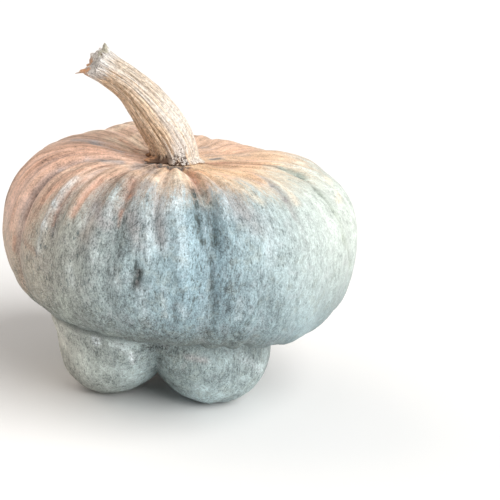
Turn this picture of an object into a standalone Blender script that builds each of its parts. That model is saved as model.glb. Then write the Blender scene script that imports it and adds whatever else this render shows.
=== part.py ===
"""Cappello del prete squash: a ribbed cap over a three-lobed turban, with its dry stem.

Metres, +Z up. The origin is on the resting plane, under the middle of the fruit's box.
The front of the fruit faces -Y. Azimuths are in degrees: 0 at the front, 90 at +X.
A place runs from 0 at the stem's seat to 1 at the blossom scar, or along the stem.
"""
import math
import random

import bmesh
import bpy
import numpy as np

OBJECT_NAME = "cappello_del_prete_squash"
SEED = 7

# Cap outline as (radius, height), from the stem's seat over the shoulder to the rim
SEAT_HEIGHT = 0.1610
SEAT_RADIUS = 0.0230
CAP_OUTLINE = (
    (0.0000, SEAT_HEIGHT),
    (0.0115, SEAT_HEIGHT),
    (SEAT_RADIUS, SEAT_HEIGHT),
    (0.0360, 0.1625),
    (0.0510, 0.1645),
    (0.0670, 0.1650),
    (0.0830, 0.1625),
    (0.0990, 0.1555),
    (0.1112, 0.1430),
    (0.1182, 0.1265),
    (0.1198, 0.1090),
    (0.1174, 0.0930),
    (0.1126, 0.0800),
    (0.1056, 0.0705),
    (0.0970, 0.0635),
    (0.0880, 0.0605),
    (0.0810, 0.0615),
)
# Turban outline as (radius, height), from the crease under the rim to the blossom scar,
# once down the middle of a lobe and once down the cleft between two lobes
LOBE_OUTLINE = (
    (0.0745, 0.0635),
    (0.0752, 0.0545),
    (0.0765, 0.0420),
    (0.0765, 0.0280),
    (0.0710, 0.0140),
    (0.0580, 0.0035),
    (0.0400, 0.0000),
    (0.0230, 0.0040),
    (0.0110, 0.0105),
    (0.0000, 0.0120),
)
CLEFT_OUTLINE = (
    (0.0715, 0.0635),
    (0.0670, 0.0555),
    (0.0620, 0.0460),
    (0.0550, 0.0370),
    (0.0460, 0.0290),
    (0.0370, 0.0230),
    (0.0270, 0.0185),
    (0.0170, 0.0150),
    (0.0080, 0.0125),
    (0.0000, 0.0120),
)

# The lobes are three balls side by side round the turban's axis, each flattened where
# it rests. The first is stretched less far out below, and flares out below the crease.
LOBE_AZIMUTHS = (-63.0, 57.0, 177.0)
LOBE_STRETCHES = (-0.0040, 0.0010, 0.0000)
LOBE_FLARES = (0.0055, 0.0000, 0.0000)
LOBE_HALF_SPAN = 60.0
LOBE_BALL_RADIUS = 0.0390
LOBE_BALL_DISTANCE = 0.0400
LOBE_FLAT_SINK = 0.0012
STRETCH_HEIGHTS = (0.060, 0.038)
FLARE_HEIGHTS = (0.028, 0.058)

# Sideways place of the fruit's axis at the stem, the equator, the rim and the turban
AXIS_AT_STEM = -0.0078
AXIS_AT_EQUATOR = 0.0000
AXIS_AT_RIM = 0.0020
AXIS_AT_TURBAN = -0.0075
EQUATOR_PLACES = (0.35, 0.38)

# Swells and hollows of the shoulder and of the rim, as (azimuth, half angle, rise)
SHOULDER_SWELLS = (
    (-151.0, 9.0, 0.0040),
    (-70.0, 50.0, 0.0008),
    (98.0, 8.0, -0.0030),
    (120.0, 50.0, -0.0010),
    (138.0, 15.0, -0.0062),
    (170.0, 18.0, -0.0042),
)
SHOULDER_RADII = (1.2 * SEAT_RADIUS, 2.2 * SEAT_RADIUS)
SHOULDER_HEIGHTS = (0.145, 0.162)
RIM_SWELLS = (
    (52.0, 28.0, -0.0044),
    (5.0, 26.0, 0.0014),
)
RIM_HEIGHTS = (0.095, 0.065)

# Grooves between the ribs on the front, as (azimuth, depth at shoulder, depth at rim)
FRONT_GROOVES = (
    (-84.0, 0.0030, 0.0018),
    (-72.0, 0.0032, 0.0018),
    (-61.5, 0.0042, 0.0026),
    (-42.5, 0.0034, 0.0014),
    (-32.0, 0.0022, 0.0010),
    (-22.0, 0.0028, 0.0014),
    (-8.5, 0.0026, 0.0012),
    (9.0, 0.0040, 0.0030),
    (19.0, 0.0024, 0.0014),
    (27.0, 0.0012, 0.0024),
    (43.5, 0.0034, 0.0016),
    (56.0, 0.0018, 0.0012),
    (71.0, 0.0038, 0.0016),
    (84.0, 0.0026, 0.0014),
)
BACK_GROOVE_COUNT = 13
BACK_UPPER_DEPTHS = (0.0004, 0.0014)
BACK_LOWER_DEPTHS = (0.0010, 0.0026)
BACK_GROOVE_WANDER = 2.5
GROOVE_START_RADII = (0.7 * SEAT_RADIUS, 1.6 * SEAT_RADIUS)
GROOVE_CHANGE_HEIGHTS = (0.085, 0.150)
GROOVE_ROUNDNESS = 0.7
SEGMENTS_PER_RIB = 4
RINGS = 50

# Dent in the front of the cap
DENT_AZIMUTH = -12.4
DENT_HEIGHT = 0.1170
DENT_HALF_ANGLE = 2.4
DENT_HALF_HEIGHT = 0.0100
DENT_DEPTH = 0.0035

# Stem centreline as (x, z), and the stem's radius at each of its points
STEM_GAP = 0.0003
STEM_FOOT_HEIGHT = SEAT_HEIGHT - LOBE_FLAT_SINK + STEM_GAP
STEM_PATH = (
    (AXIS_AT_STEM, STEM_FOOT_HEIGHT),
    (-0.0095, 0.1670),
    (-0.0140, 0.1760),
    (-0.0225, 0.1875),
    (-0.0312, 0.1980),
    (-0.0415, 0.2075),
    (-0.0530, 0.2148),
    (-0.0645, 0.2212),
)
STEM_RADII = (0.0170, 0.0160, 0.0156, 0.0150, 0.0132, 0.0112, 0.0106, 0.0114)
STEM_UPRIGHT_PLACE = 0.2
STEM_RINGS = 30
STEM_RING_CROWDING = 1.15
STEM_RIDGES = 11
STEM_SEGMENTS_PER_RIDGE = 4
STEM_RIDGE_DEPTH = 0.0009
STEM_TWIST = 24.0

# Nubs round the stem's foot, as (angle, half angle, reach, half height as a place)
STEM_NUBS = (
    (0.42, 0.22, 0.0052, 0.032),
    (1.02, 0.24, 0.0036, 0.046),
    (1.55, 0.22, 0.0042, 0.050),
    (2.02, 0.20, 0.0042, 0.044),
    (2.46, 0.20, 0.0080, 0.038),
    (3.20, 0.24, 0.0030, 0.030),
    (3.90, 0.26, 0.0030, 0.035),
    (4.70, 0.26, 0.0026, 0.030),
    (5.40, 0.26, 0.0032, 0.035),
)
STEM_NUB_PLACE = 0.012

# The torn end: waves round it (count, size, phase), and tears (angle, half angle, size)
STEM_TORN_REACH = 0.0055
STEM_TORN_PLACE = 0.80
STEM_JAGS = (
    (3, 0.16, 3.93),
    (8, 0.12, 0.00),
)
STEM_TEARS = (
    (0.45, 0.16, -0.35),
    (1.65, 0.75, -0.55),
    (3.14, 0.30, 0.15),
    (4.40, 0.80, 0.60),
)
# A splinter on top of the torn end
STEM_SPLINTER_ANGLE = 0.06
STEM_SPLINTER_HALF_ANGLE = 0.36
STEM_SPLINTER_PLACE = 0.945
STEM_SPLINTER_OFFSET = (0.0006, 0.0, 0.0024)
STEM_HOLLOW_DEPTH = 0.0015
STEM_HOLLOW_SHARE = 0.45

FRUIT_COLOUR = (0.55, 0.57, 0.55, 1.0)
FRUIT_ROUGHNESS = 0.60
STEM_COLOUR = (0.62, 0.47, 0.32, 1.0)
STEM_ROUGHNESS = 0.90
SMOOTH_ANGLE = 50.0


def smooth_step(low, high, values):
    """Rise from 0 at low to 1 at high, level at both ends."""
    part = np.clip((values - low) / (high - low), 0.0, 1.0)
    return part * part * (3.0 - 2.0 * part)


def spline(knots, places):
    """Points at the given places (0 to 1) along a Catmull-Rom curve through the knots."""
    knots = np.asarray(knots, dtype=float)
    padded = np.vstack((2 * knots[0] - knots[1], knots, 2 * knots[-1] - knots[-2]))
    spans = len(knots) - 1
    along = np.clip(np.asarray(places, dtype=float) * spans, 0.0, spans)
    index = np.minimum(along.astype(int), spans - 1)
    t = (along - index)[:, None]
    before, start, end, after = (padded[index + step] for step in range(4))
    linear = end - before
    square = 2 * before - 5 * start + 4 * end - after
    cube = 3 * start - 3 * end + after - before
    return start + 0.5 * t * (linear + t * (square + t * cube))


def degrees_apart(azimuths, azimuth):
    """Signed angle from one azimuth to each of the others."""
    return (azimuths - azimuth + 180.0) % 360.0 - 180.0


def swell(azimuths, swells):
    """Sum of the rounded swells at each azimuth."""
    rise = np.zeros_like(azimuths)
    for azimuth, half_angle, most in swells:
        apart = degrees_apart(azimuths, azimuth)
        rise = rise + most * np.exp(-((apart / half_angle) ** 2))
    return rise


def ball_reach(apart):
    """Distance from the turban's axis to a lobe's ball, apart degrees from its middle."""
    turn = np.radians(apart)
    across = LOBE_BALL_DISTANCE * np.sin(turn)
    return LOBE_BALL_DISTANCE * np.cos(turn) + np.sqrt(LOBE_BALL_RADIUS**2 - across**2)


def lobe_weights(azimuths):
    """How far each azimuth is into a lobe (1) or a cleft (0), its stretch and its flare."""
    weights = np.zeros_like(azimuths)
    stretches = np.zeros_like(azimuths)
    flares = np.zeros_like(azimuths)
    cleft_reach = ball_reach(LOBE_HALF_SPAN)
    lobe_reach = ball_reach(0.0)
    for azimuth, stretch, flare in zip(LOBE_AZIMUTHS, LOBE_STRETCHES, LOBE_FLARES):
        apart = degrees_apart(azimuths, azimuth)
        inside = np.abs(apart) <= LOBE_HALF_SPAN
        reach = ball_reach(np.clip(apart, -LOBE_HALF_SPAN, LOBE_HALF_SPAN))
        weight = (reach - cleft_reach) / (lobe_reach - cleft_reach)
        weights = np.where(inside, weight, weights)
        stretches = np.where(inside, stretch * weight, stretches)
        flares = np.where(inside, flare * weight, flares)
    return weights, stretches, flares


def groove_lines():
    """Azimuth, upper depth and lower depth of every groove, in order round the fruit."""
    draw = random.Random(SEED)
    first = FRONT_GROOVES[0][0]
    last = FRONT_GROOVES[-1][0]
    step = (first + 360.0 - last) / (BACK_GROOVE_COUNT + 1)
    grooves = list(FRONT_GROOVES)
    for number in range(1, BACK_GROOVE_COUNT + 1):
        wander = draw.uniform(-BACK_GROOVE_WANDER, BACK_GROOVE_WANDER)
        upper = draw.uniform(*BACK_UPPER_DEPTHS)
        lower = draw.uniform(*BACK_LOWER_DEPTHS)
        grooves.append((last + number * step + wander, upper, lower))
    return grooves


def rib_rows(turns):
    """Azimuth, upper and lower groove depth at each turn (0 to 1), each rib an equal turn."""
    grooves = groove_lines()
    azimuth, upper, lower = grooves[0]
    table = np.array(grooves + [(azimuth + 360.0, upper, lower)])
    along = (turns % 1.0) * len(grooves)
    rib = np.minimum(along.astype(int), len(grooves) - 1)
    part = (along - rib)[:, None]
    rows = table[rib] * (1.0 - part) + table[rib + 1] * part
    valley = 1.0 - np.sin(np.pi * part[:, 0]) ** GROOVE_ROUNDNESS
    return rows[:, 0], rows[:, 1] * valley, rows[:, 2] * valley


def dent(azimuths, heights):
    """Depth of the dent at each azimuth and height."""
    across = degrees_apart(azimuths, DENT_AZIMUTH) / DENT_HALF_ANGLE
    up = (heights - DENT_HEIGHT) / DENT_HALF_HEIGHT
    return DENT_DEPTH * np.exp(-(across**2) - up**2)


def fruit_outline(weights, places):
    """Radius and height on the fruit's outline, between cleft (0) and lobe (1)."""
    over_lobe = spline(CAP_OUTLINE + LOBE_OUTLINE, places)
    over_cleft = spline(CAP_OUTLINE + CLEFT_OUTLINE, places)
    return over_cleft + weights[:, None] * (over_lobe - over_cleft)


def outline_normals(weights, places):
    """Outward radius and height of the outline's normal."""
    nudge = 0.002
    ahead = fruit_outline(weights, np.minimum(places + nudge, 1.0))
    behind = fruit_outline(weights, np.maximum(places - nudge, 0.0))
    along = ahead - behind
    along /= np.linalg.norm(along, axis=1)[:, None]
    return -along[:, 1], along[:, 0]


def axis_shift(places, rim, on_turban):
    """Sideways place of the fruit's axis."""
    to_equator = smooth_step(0.0, EQUATOR_PLACES[0], places)
    to_rim = smooth_step(EQUATOR_PLACES[1], rim, places)
    shift = AXIS_AT_STEM + to_equator * (AXIS_AT_EQUATOR - AXIS_AT_STEM)
    shift = shift + to_rim * (AXIS_AT_RIM - AXIS_AT_EQUATOR)
    return shift + on_turban * (AXIS_AT_TURBAN - AXIS_AT_RIM)


def fruit_surface(turns, places):
    """Points of the fruit at each turn round it and each place from stem to scar."""
    azimuths, upper_depths, lower_depths = rib_rows(turns)
    weights, stretches, flares = lobe_weights(azimuths)
    radius, height = fruit_outline(weights, places).T
    outward, upward = outline_normals(weights, places)

    span = 1.0 / (len(CAP_OUTLINE) + len(LOBE_OUTLINE) - 1)
    rim = (len(CAP_OUTLINE) - 2) * span
    on_cap = 1.0 - smooth_step(rim - 0.5 * span, rim + 1.5 * span, places)
    on_turban = smooth_step(rim, rim + 2.0 * span, places)

    upper_share = smooth_step(*GROOVE_CHANGE_HEIGHTS, height)
    depth = lower_depths + upper_share * (upper_depths - lower_depths)
    depth = depth * smooth_step(*GROOVE_START_RADII, radius)
    depth = (depth + dent(azimuths, height)) * on_cap

    on_shoulder = smooth_step(*SHOULDER_RADII, radius) * smooth_step(*SHOULDER_HEIGHTS, height)
    on_rim = smooth_step(*RIM_HEIGHTS, height) * on_cap
    rise = swell(azimuths, SHOULDER_SWELLS) * on_shoulder + swell(azimuths, RIM_SWELLS) * on_rim

    outer = np.clip((radius - LOBE_BALL_DISTANCE) / LOBE_BALL_RADIUS, 0.0, 1.0)
    stretch = stretches * outer * smooth_step(*STRETCH_HEIGHTS, height)
    flare = flares * smooth_step(*FLARE_HEIGHTS, height)

    radius = radius - outward * depth + on_turban * (stretch + flare)
    height = np.maximum(height - upward * depth + rise - LOBE_FLAT_SINK, 0.0)
    turn = np.radians(azimuths)
    across = axis_shift(places, rim, on_turban) + radius * np.sin(turn)
    return np.column_stack((across, -radius * np.cos(turn), height))


def make_fruit():
    """The fruit: a sphere's rings and meridians laid on the fruit's surface."""
    segments = SEGMENTS_PER_RIB * len(groove_lines())
    builder = bmesh.new()
    bmesh.ops.create_uvsphere(builder, u_segments=segments, v_segments=RINGS, radius=1.0)
    ball = np.array([vertex.co for vertex in builder.verts])
    places = np.arccos(np.clip(ball[:, 2], -1.0, 1.0)) / math.pi
    turns = np.arctan2(ball[:, 0], -ball[:, 1]) / math.tau
    places = np.round(places * RINGS) / RINGS
    turns = np.round(turns * segments) / segments
    for vertex, point in zip(builder.verts, fruit_surface(turns, places)):
        vertex.co = point
    return finish("fruit", builder, FRUIT_COLOUR, FRUIT_ROUGHNESS)


def stem_frame(place):
    """Centre, right and forward vector of the stem's section at a place along it."""
    step = 0.01
    behind, here, ahead = spline(STEM_PATH, np.array((place - step, place, place + step)))
    along = (ahead - behind) / np.linalg.norm(ahead - behind)
    upright = 1.0 - smooth_step(0.0, STEM_UPRIGHT_PLACE, place)
    along = along * (1.0 - upright) + np.array((0.0, 1.0)) * upright
    along = along / np.linalg.norm(along)
    centre = np.array((here[0], 0.0, here[1]))
    right = np.array((along[1], 0.0, -along[0]))
    forward = np.array((along[0], 0.0, along[1]))
    return centre, right, forward


def bulge(angle, middle, half_angle):
    """A rounded bulge from 0 to 1 round the section, highest at the middle angle."""
    apart = (angle - middle + math.pi) % math.tau - math.pi
    return np.exp(-((apart / half_angle) ** 2))


def torn_edge(angle):
    """How far the torn end stands out past the stem's end, round the section."""
    edge = np.zeros_like(angle)
    for middle, half_angle, size in STEM_TEARS:
        edge = edge + size * bulge(angle, middle, half_angle)
    for count, size, phase in STEM_JAGS:
        edge = edge + size * np.cos(count * angle + phase)
    return edge


def nub_reach(angle, place):
    """How far the nubs of the stem's foot stand out, round the section."""
    reach = np.zeros_like(angle)
    for middle, half_angle, most, half_height in STEM_NUBS:
        fade = math.exp(-(((place - STEM_NUB_PLACE) / half_height) ** 2))
        reach = reach + most * fade * bulge(angle, middle, half_angle)
    return reach


def stem_ring(place, segments):
    """The stem's ridged section at one place along it."""
    centre, right, forward = stem_frame(place)
    front = np.array((0.0, -1.0, 0.0))
    turns = np.arange(segments) / segments
    angle = math.tau * turns + math.radians(STEM_TWIST) * place
    ridge = np.abs(np.sin(np.pi * STEM_RIDGES * turns))
    radius = spline([(value,) for value in STEM_RADII], np.array([place]))[0, 0]
    radius = radius - STEM_RIDGE_DEPTH * (1.0 - ridge) + nub_reach(angle, place)
    across = np.cos(angle)[:, None] * right + np.sin(angle)[:, None] * front
    torn = STEM_TORN_REACH * smooth_step(STEM_TORN_PLACE, 1.0, place) * torn_edge(angle)
    splinter = bulge(angle, STEM_SPLINTER_ANGLE, STEM_SPLINTER_HALF_ANGLE)
    splinter = splinter * smooth_step(STEM_SPLINTER_PLACE, 1.0, place)
    points = centre + radius[:, None] * across + torn[:, None] * forward
    return points + splinter[:, None] * np.array(STEM_SPLINTER_OFFSET)


def make_stem():
    """The stem: ridged sections lofted from the flat foot to the hollow torn end."""
    segments = STEM_RIDGES * STEM_SEGMENTS_PER_RIDGE
    builder = bmesh.new()
    rings = []
    for number in range(STEM_RINGS + 1):
        place = (number / STEM_RINGS) ** STEM_RING_CROWDING
        rings.append([builder.verts.new(point) for point in stem_ring(place, segments)])
    centre, _, forward = stem_frame(1.0)
    hollow = centre - STEM_HOLLOW_DEPTH * forward
    inner = []
    for vertex in rings[-1]:
        point = np.array(vertex.co) * (1.0 - STEM_HOLLOW_SHARE) + hollow * STEM_HOLLOW_SHARE
        inner.append(builder.verts.new(point))
    rings.append(inner)
    for lower, upper in zip(rings, rings[1:]):
        bridge(builder, lower, upper)
    fan(builder, builder.verts.new((AXIS_AT_STEM, 0.0, STEM_FOOT_HEIGHT)), rings[0])
    fan(builder, builder.verts.new(hollow), inner)
    return finish("stem", builder, STEM_COLOUR, STEM_ROUGHNESS)


def bridge(builder, lower, upper):
    """Faces between two rings with the same number of points."""
    count = len(lower)
    for number in range(count):
        after = (number + 1) % count
        builder.faces.new((lower[number], lower[after], upper[after], upper[number]))


def fan(builder, centre, ring):
    """Faces from a centre point out to a ring."""
    count = len(ring)
    for number in range(count):
        builder.faces.new((centre, ring[number], ring[(number + 1) % count]))


def finish(name, builder, colour, roughness):
    """An object from the built faces, shaded smooth, with its own material."""
    bmesh.ops.triangulate(builder, faces=builder.faces[:])
    bmesh.ops.recalc_face_normals(builder, faces=builder.faces[:])
    mesh = bpy.data.meshes.new(name)
    builder.to_mesh(mesh)
    builder.free()
    mesh.shade_smooth()
    mesh.set_sharp_from_angle(angle=math.radians(SMOOTH_ANGLE))
    material = bpy.data.materials.new(name)
    material.use_nodes = True
    shader = material.node_tree.nodes["Principled BSDF"]
    shader.inputs["Base Color"].default_value = colour
    shader.inputs["Roughness"].default_value = roughness
    shader.inputs["Metallic"].default_value = 0.0
    mesh.materials.append(material)
    return bpy.data.objects.new(name, mesh)


def main():
    for leftover in list(bpy.data.objects):
        bpy.data.objects.remove(leftover, do_unlink=True)
    collection = bpy.data.collections.new(OBJECT_NAME)
    bpy.context.scene.collection.children.link(collection)
    for piece in (make_fruit(), make_stem()):
        collection.objects.link(piece)


main()
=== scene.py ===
"""Looks of the cappello del prete squash: its fine rind and stem, their materials, the floor,
the light and the camera.

Metres, in the row frame: +Z up, the front faces -Y. Azimuths are in degrees: 0 at the front,
90 at +X. A place runs from 0 at the stem's seat to 1 at the blossom scar, or from 0 at the
stem's foot to 1 at its torn end. Angles round the stem are in radians, from +X to the front.
"""

import math
import random

import bpy
import numpy as np
from mathutils import Matrix, Vector


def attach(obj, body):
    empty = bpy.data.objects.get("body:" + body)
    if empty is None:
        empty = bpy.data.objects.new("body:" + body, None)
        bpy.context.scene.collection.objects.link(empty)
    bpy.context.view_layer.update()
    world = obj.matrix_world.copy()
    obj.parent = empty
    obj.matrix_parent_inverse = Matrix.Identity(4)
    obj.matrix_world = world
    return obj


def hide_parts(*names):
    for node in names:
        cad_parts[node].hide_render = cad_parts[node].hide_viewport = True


SEED = 7

# Cap outline as (radius, height), from the stem's seat over the shoulder to the rim
SEAT_HEIGHT = 0.1610
SEAT_RADIUS = 0.0230
CAP_OUTLINE = (
    (0.0000, SEAT_HEIGHT),
    (0.0115, SEAT_HEIGHT),
    (SEAT_RADIUS, SEAT_HEIGHT),
    (0.0360, 0.1625),
    (0.0510, 0.1645),
    (0.0670, 0.1650),
    (0.0830, 0.1625),
    (0.0990, 0.1555),
    (0.1112, 0.1430),
    (0.1182, 0.1265),
    (0.1198, 0.1090),
    (0.1174, 0.0930),
    (0.1126, 0.0800),
    (0.1056, 0.0705),
    (0.0970, 0.0635),
    (0.0880, 0.0605),
    (0.0810, 0.0615),
)
# Turban outline as (radius, height), from the crease under the rim to the blossom scar,
# once down the middle of a lobe and once down the cleft between two lobes
LOBE_OUTLINE = (
    (0.0745, 0.0635),
    (0.0752, 0.0545),
    (0.0765, 0.0420),
    (0.0765, 0.0280),
    (0.0710, 0.0140),
    (0.0580, 0.0035),
    (0.0400, 0.0000),
    (0.0230, 0.0040),
    (0.0110, 0.0105),
    (0.0000, 0.0120),
)
CLEFT_OUTLINE = (
    (0.0715, 0.0635),
    (0.0670, 0.0555),
    (0.0620, 0.0460),
    (0.0550, 0.0370),
    (0.0460, 0.0290),
    (0.0370, 0.0230),
    (0.0270, 0.0185),
    (0.0170, 0.0150),
    (0.0080, 0.0125),
    (0.0000, 0.0120),
)

# The lobes are three balls side by side round the turban's axis, each flattened where
# it rests. The first is stretched less far out below, and flares out below the crease.
LOBE_AZIMUTHS = (-63.0, 57.0, 177.0)
LOBE_STRETCHES = (-0.0040, 0.0010, 0.0000)
LOBE_FLARES = (0.0055, 0.0000, 0.0000)
LOBE_HALF_SPAN = 60.0
LOBE_BALL_RADIUS = 0.0390
LOBE_BALL_DISTANCE = 0.0400
LOBE_FLAT_SINK = 0.0012
STRETCH_HEIGHTS = (0.060, 0.038)
FLARE_HEIGHTS = (0.028, 0.058)

# Sideways place of the fruit's axis at the stem, the equator, the rim and the turban
AXIS_AT_STEM = -0.0078
AXIS_AT_EQUATOR = 0.0000
AXIS_AT_RIM = 0.0020
AXIS_AT_TURBAN = -0.0075
EQUATOR_PLACES = (0.35, 0.38)

# Swells and hollows of the shoulder and of the rim, as (azimuth, half angle, rise)
SHOULDER_SWELLS = (
    (-151.0, 9.0, 0.0040),
    (-70.0, 50.0, 0.0008),
    (98.0, 8.0, -0.0030),
    (120.0, 50.0, -0.0010),
    (138.0, 15.0, -0.0062),
    (170.0, 18.0, -0.0042),
)
SHOULDER_RADII = (1.2 * SEAT_RADIUS, 2.2 * SEAT_RADIUS)
SHOULDER_HEIGHTS = (0.145, 0.162)
RIM_SWELLS = (
    (52.0, 28.0, -0.0044),
    (5.0, 26.0, 0.0014),
)
RIM_HEIGHTS = (0.095, 0.065)

# Grooves between the ribs on the front, as (azimuth, depth at shoulder, depth at rim)
FRONT_GROOVES = (
    (-84.0, 0.0030, 0.0018),
    (-72.0, 0.0032, 0.0018),
    (-61.5, 0.0042, 0.0026),
    (-42.5, 0.0034, 0.0014),
    (-32.0, 0.0022, 0.0010),
    (-22.0, 0.0028, 0.0014),
    (-8.5, 0.0026, 0.0012),
    (9.0, 0.0040, 0.0030),
    (19.0, 0.0024, 0.0014),
    (27.0, 0.0012, 0.0024),
    (43.5, 0.0034, 0.0016),
    (56.0, 0.0018, 0.0012),
    (71.0, 0.0038, 0.0016),
    (84.0, 0.0026, 0.0014),
)
BACK_GROOVE_COUNT = 13
BACK_UPPER_DEPTHS = (0.0004, 0.0014)
BACK_LOWER_DEPTHS = (0.0010, 0.0026)
BACK_GROOVE_WANDER = 2.5
GROOVE_START_RADII = (0.7 * SEAT_RADIUS, 1.6 * SEAT_RADIUS)
GROOVE_CHANGE_HEIGHTS = (0.085, 0.150)
GROOVE_ROUNDNESS = 0.7
GROOVE_SOFTNESS = 1.5
GROOVE_SHARP_SHARE = 0.15
DEEPEST_GROOVE = 0.0042
FRONT_COLUMNS_PER_DEGREE = 2.0
BACK_RIB_SEGMENTS = 9
# Rings of the rind, as (first place, last place, count)
RING_SPANS = (
    (0.00, 0.06, 6),
    (0.06, 0.58, 150),
    (0.58, 0.85, 48),
    (0.85, 1.00, 10),
)

# How far the grooves wander in degrees and how much their depth changes, each with its
# noise as (columns, rows, seed)
GROOVE_WANDER = 0.9
GROOVE_WANDER_WAVES = (40, 7, 16)
GROOVE_CHANGE = 0.35
GROOVE_CHANGE_WAVES = (54, 9, 17)

# Low unevenness of the rind, as (rise, columns, rows, seed, on the shoulder alone)
RIND_WAVES = (
    (0.0007, 40, 13, 11, False),
    (0.0008, 88, 8, 15, True),
    (0.00030, 150, 13, 12, False),
    (0.00018, 260, 26, 13, False),
    (0.00012, 320, 110, 14, False),
)
# Places where the shoulder's share of it starts and ends, and radii where all of it starts
SHOULDER_START_PLACES = (0.12, 0.22)
SHOULDER_END_PLACES = (0.30, 0.46)
RELIEF_START_RADII = (0.012, 0.03)

# Roughly the metres of rind from place 0 to place 1, for folds and strokes
PLACE_LENGTH = 0.42

# Single folds of the rind, as (azimuth, place, azimuth, place, half width, rise)
FOLDS = (
    (-9.4, 0.350, -10.4, 0.315, 0.0016, 0.00135),
    (-10.4, 0.315, -12.1, 0.251, 0.0016, 0.0012),
    (-61.6, 0.263, -61.8, 0.305, 0.0022, -0.0014),
    (-61.8, 0.305, -58.0, 0.355, 0.0022, -0.0014),
    (-9.6, 0.273, -6.6, 0.328, 0.0025, -0.00189),
    (-1.9, 0.257, 1.1, 0.376, 0.0037, 0.00162),
    (5.4, 0.205, 5.3, 0.285, 0.0018, -0.0018),
    (5.3, 0.285, 6.2, 0.322, 0.0015, -0.0014),
    (12.4, 0.242, 10.4, 0.318, 0.0028, -0.00297),
    (8.3, 0.257, 7.8, 0.312, 0.0011, 0.00094),
    (8.3, 0.328, 10.6, 0.382, 0.0016, -0.00108),
    (10.6, 0.382, 11.9, 0.450, 0.0019, -0.00135),
    (19.4, 0.229, 14.8, 0.313, 0.0037, 0.00122),
    (22.3, 0.259, 24.8, 0.299, 0.0050, -0.00189),
    (-47.6, 0.369, -47.0, 0.334, 0.0022, 0.00108),
    (-47.0, 0.334, -46.0, 0.254, 0.0022, 0.00149),
    (-57.5, 0.368, -61.6, 0.336, 0.0010, -0.00135),
    (-61.6, 0.336, -57.5, 0.273, 0.0010, -0.00216),
    (-44.3, 0.330, -44.3, 0.275, 0.0014, -0.00135),
    (-37.1, 0.308, -35.1, 0.243, 0.0019, -0.00108),
    (-20.8, 0.280, -22.6, 0.214, 0.0016, -0.00135),
    (76.5, 0.193, 74.2, 0.226, 0.0020, -0.0016),
    (74.2, 0.226, 64.2, 0.265, 0.0026, -0.0020),
    (64.2, 0.265, 63.1, 0.300, 0.0026, -0.0020),
    (63.1, 0.300, 63.0, 0.341, 0.0025, -0.0016),
    (63.0, 0.341, 72.8, 0.393, 0.0019, -0.00122),
    (50.3, 0.187, 46.4, 0.223, 0.0018, -0.0009),
    (46.4, 0.223, 44.8, 0.256, 0.0020, -0.0010),
    (44.8, 0.256, 42.7, 0.290, 0.0020, -0.0009),
    (26.3, 0.401, 22.4, 0.442, 0.0022, -0.00149),
    (39.3, 0.408, 42.9, 0.455, 0.0015, -0.00094),
    (-0.6, 0.402, -0.4, 0.453, 0.0019, -0.00094),
    (-13.1, 0.353, -13.3, 0.368, 0.0012, -0.00189),
    (-12.1, 0.367, -12.4, 0.386, 0.0020, -0.00324),
    (-13.1, 0.382, -13.4, 0.391, 0.0014, -0.00162),
    (-112.0, 0.120, -94.2, 0.061, 0.0010, -0.00135),
    (-125.0, 0.150, -116.0, 0.090, 0.0011, -0.00135),
    (12.6, 0.110, 10.9, 0.187, 0.0012, -0.00162),
    (-100.0, 0.173, -98.3, 0.125, 0.0019, -0.00162),
    (-4.3, 0.179, 0.1, 0.228, 0.0031, 0.00162),
    (-2.0, 0.105, -3.0, 0.155, 0.0042, 0.0011),
    (10.0, 0.085, 10.5, 0.150, 0.0018, -0.0012),
    (-28.0, 0.105, -22.0, 0.150, 0.0026, 0.0009),
    (26.0, 0.085, 24.0, 0.140, 0.0030, 0.0008),
)

# Dent in the front of the cap
DENT_AZIMUTH = -12.4
DENT_HEIGHT = 0.1170
DENT_HALF_ANGLE = 2.4
DENT_HALF_HEIGHT = 0.0100
DENT_DEPTH = 0.0035

# Stem centreline as (x, z), and the stem's radius at each of its points
STEM_GAP = 0.0003
STEM_FOOT_HEIGHT = SEAT_HEIGHT - LOBE_FLAT_SINK + STEM_GAP
STEM_PATH = (
    (AXIS_AT_STEM, STEM_FOOT_HEIGHT),
    (-0.0095, 0.1670),
    (-0.0140, 0.1760),
    (-0.0225, 0.1875),
    (-0.0312, 0.1980),
    (-0.0415, 0.2075),
    (-0.0530, 0.2148),
    (-0.0645, 0.2212),
)
STEM_RADII = (0.0170, 0.0160, 0.0156, 0.0150, 0.0132, 0.0112, 0.0106, 0.0114)
STEM_UPRIGHT_PLACE = 0.2
STEM_RINGS = 300
STEM_RIDGES = 11
STEM_SEGMENTS_PER_RIDGE = 24
STEM_RIDGE_DEPTH = 0.0007
STEM_FINE_RIDGES = 37
STEM_FINE_DEPTH = 0.0005
STEM_TWIST = 24.0

# Fibres of the stem and the wander of its fine ridges, with noises as (columns, rows, seed)
STEM_FIBRE_HEIGHT = 0.00035
STEM_COARSE_WAVES = (66, 5, 21)
STEM_THIN_SHARE = 0.7
STEM_THIN_WAVES = (120, 12, 22)
STEM_WANDER = 0.35
STEM_WANDER_WAVES = (22, 6, 24)

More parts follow.
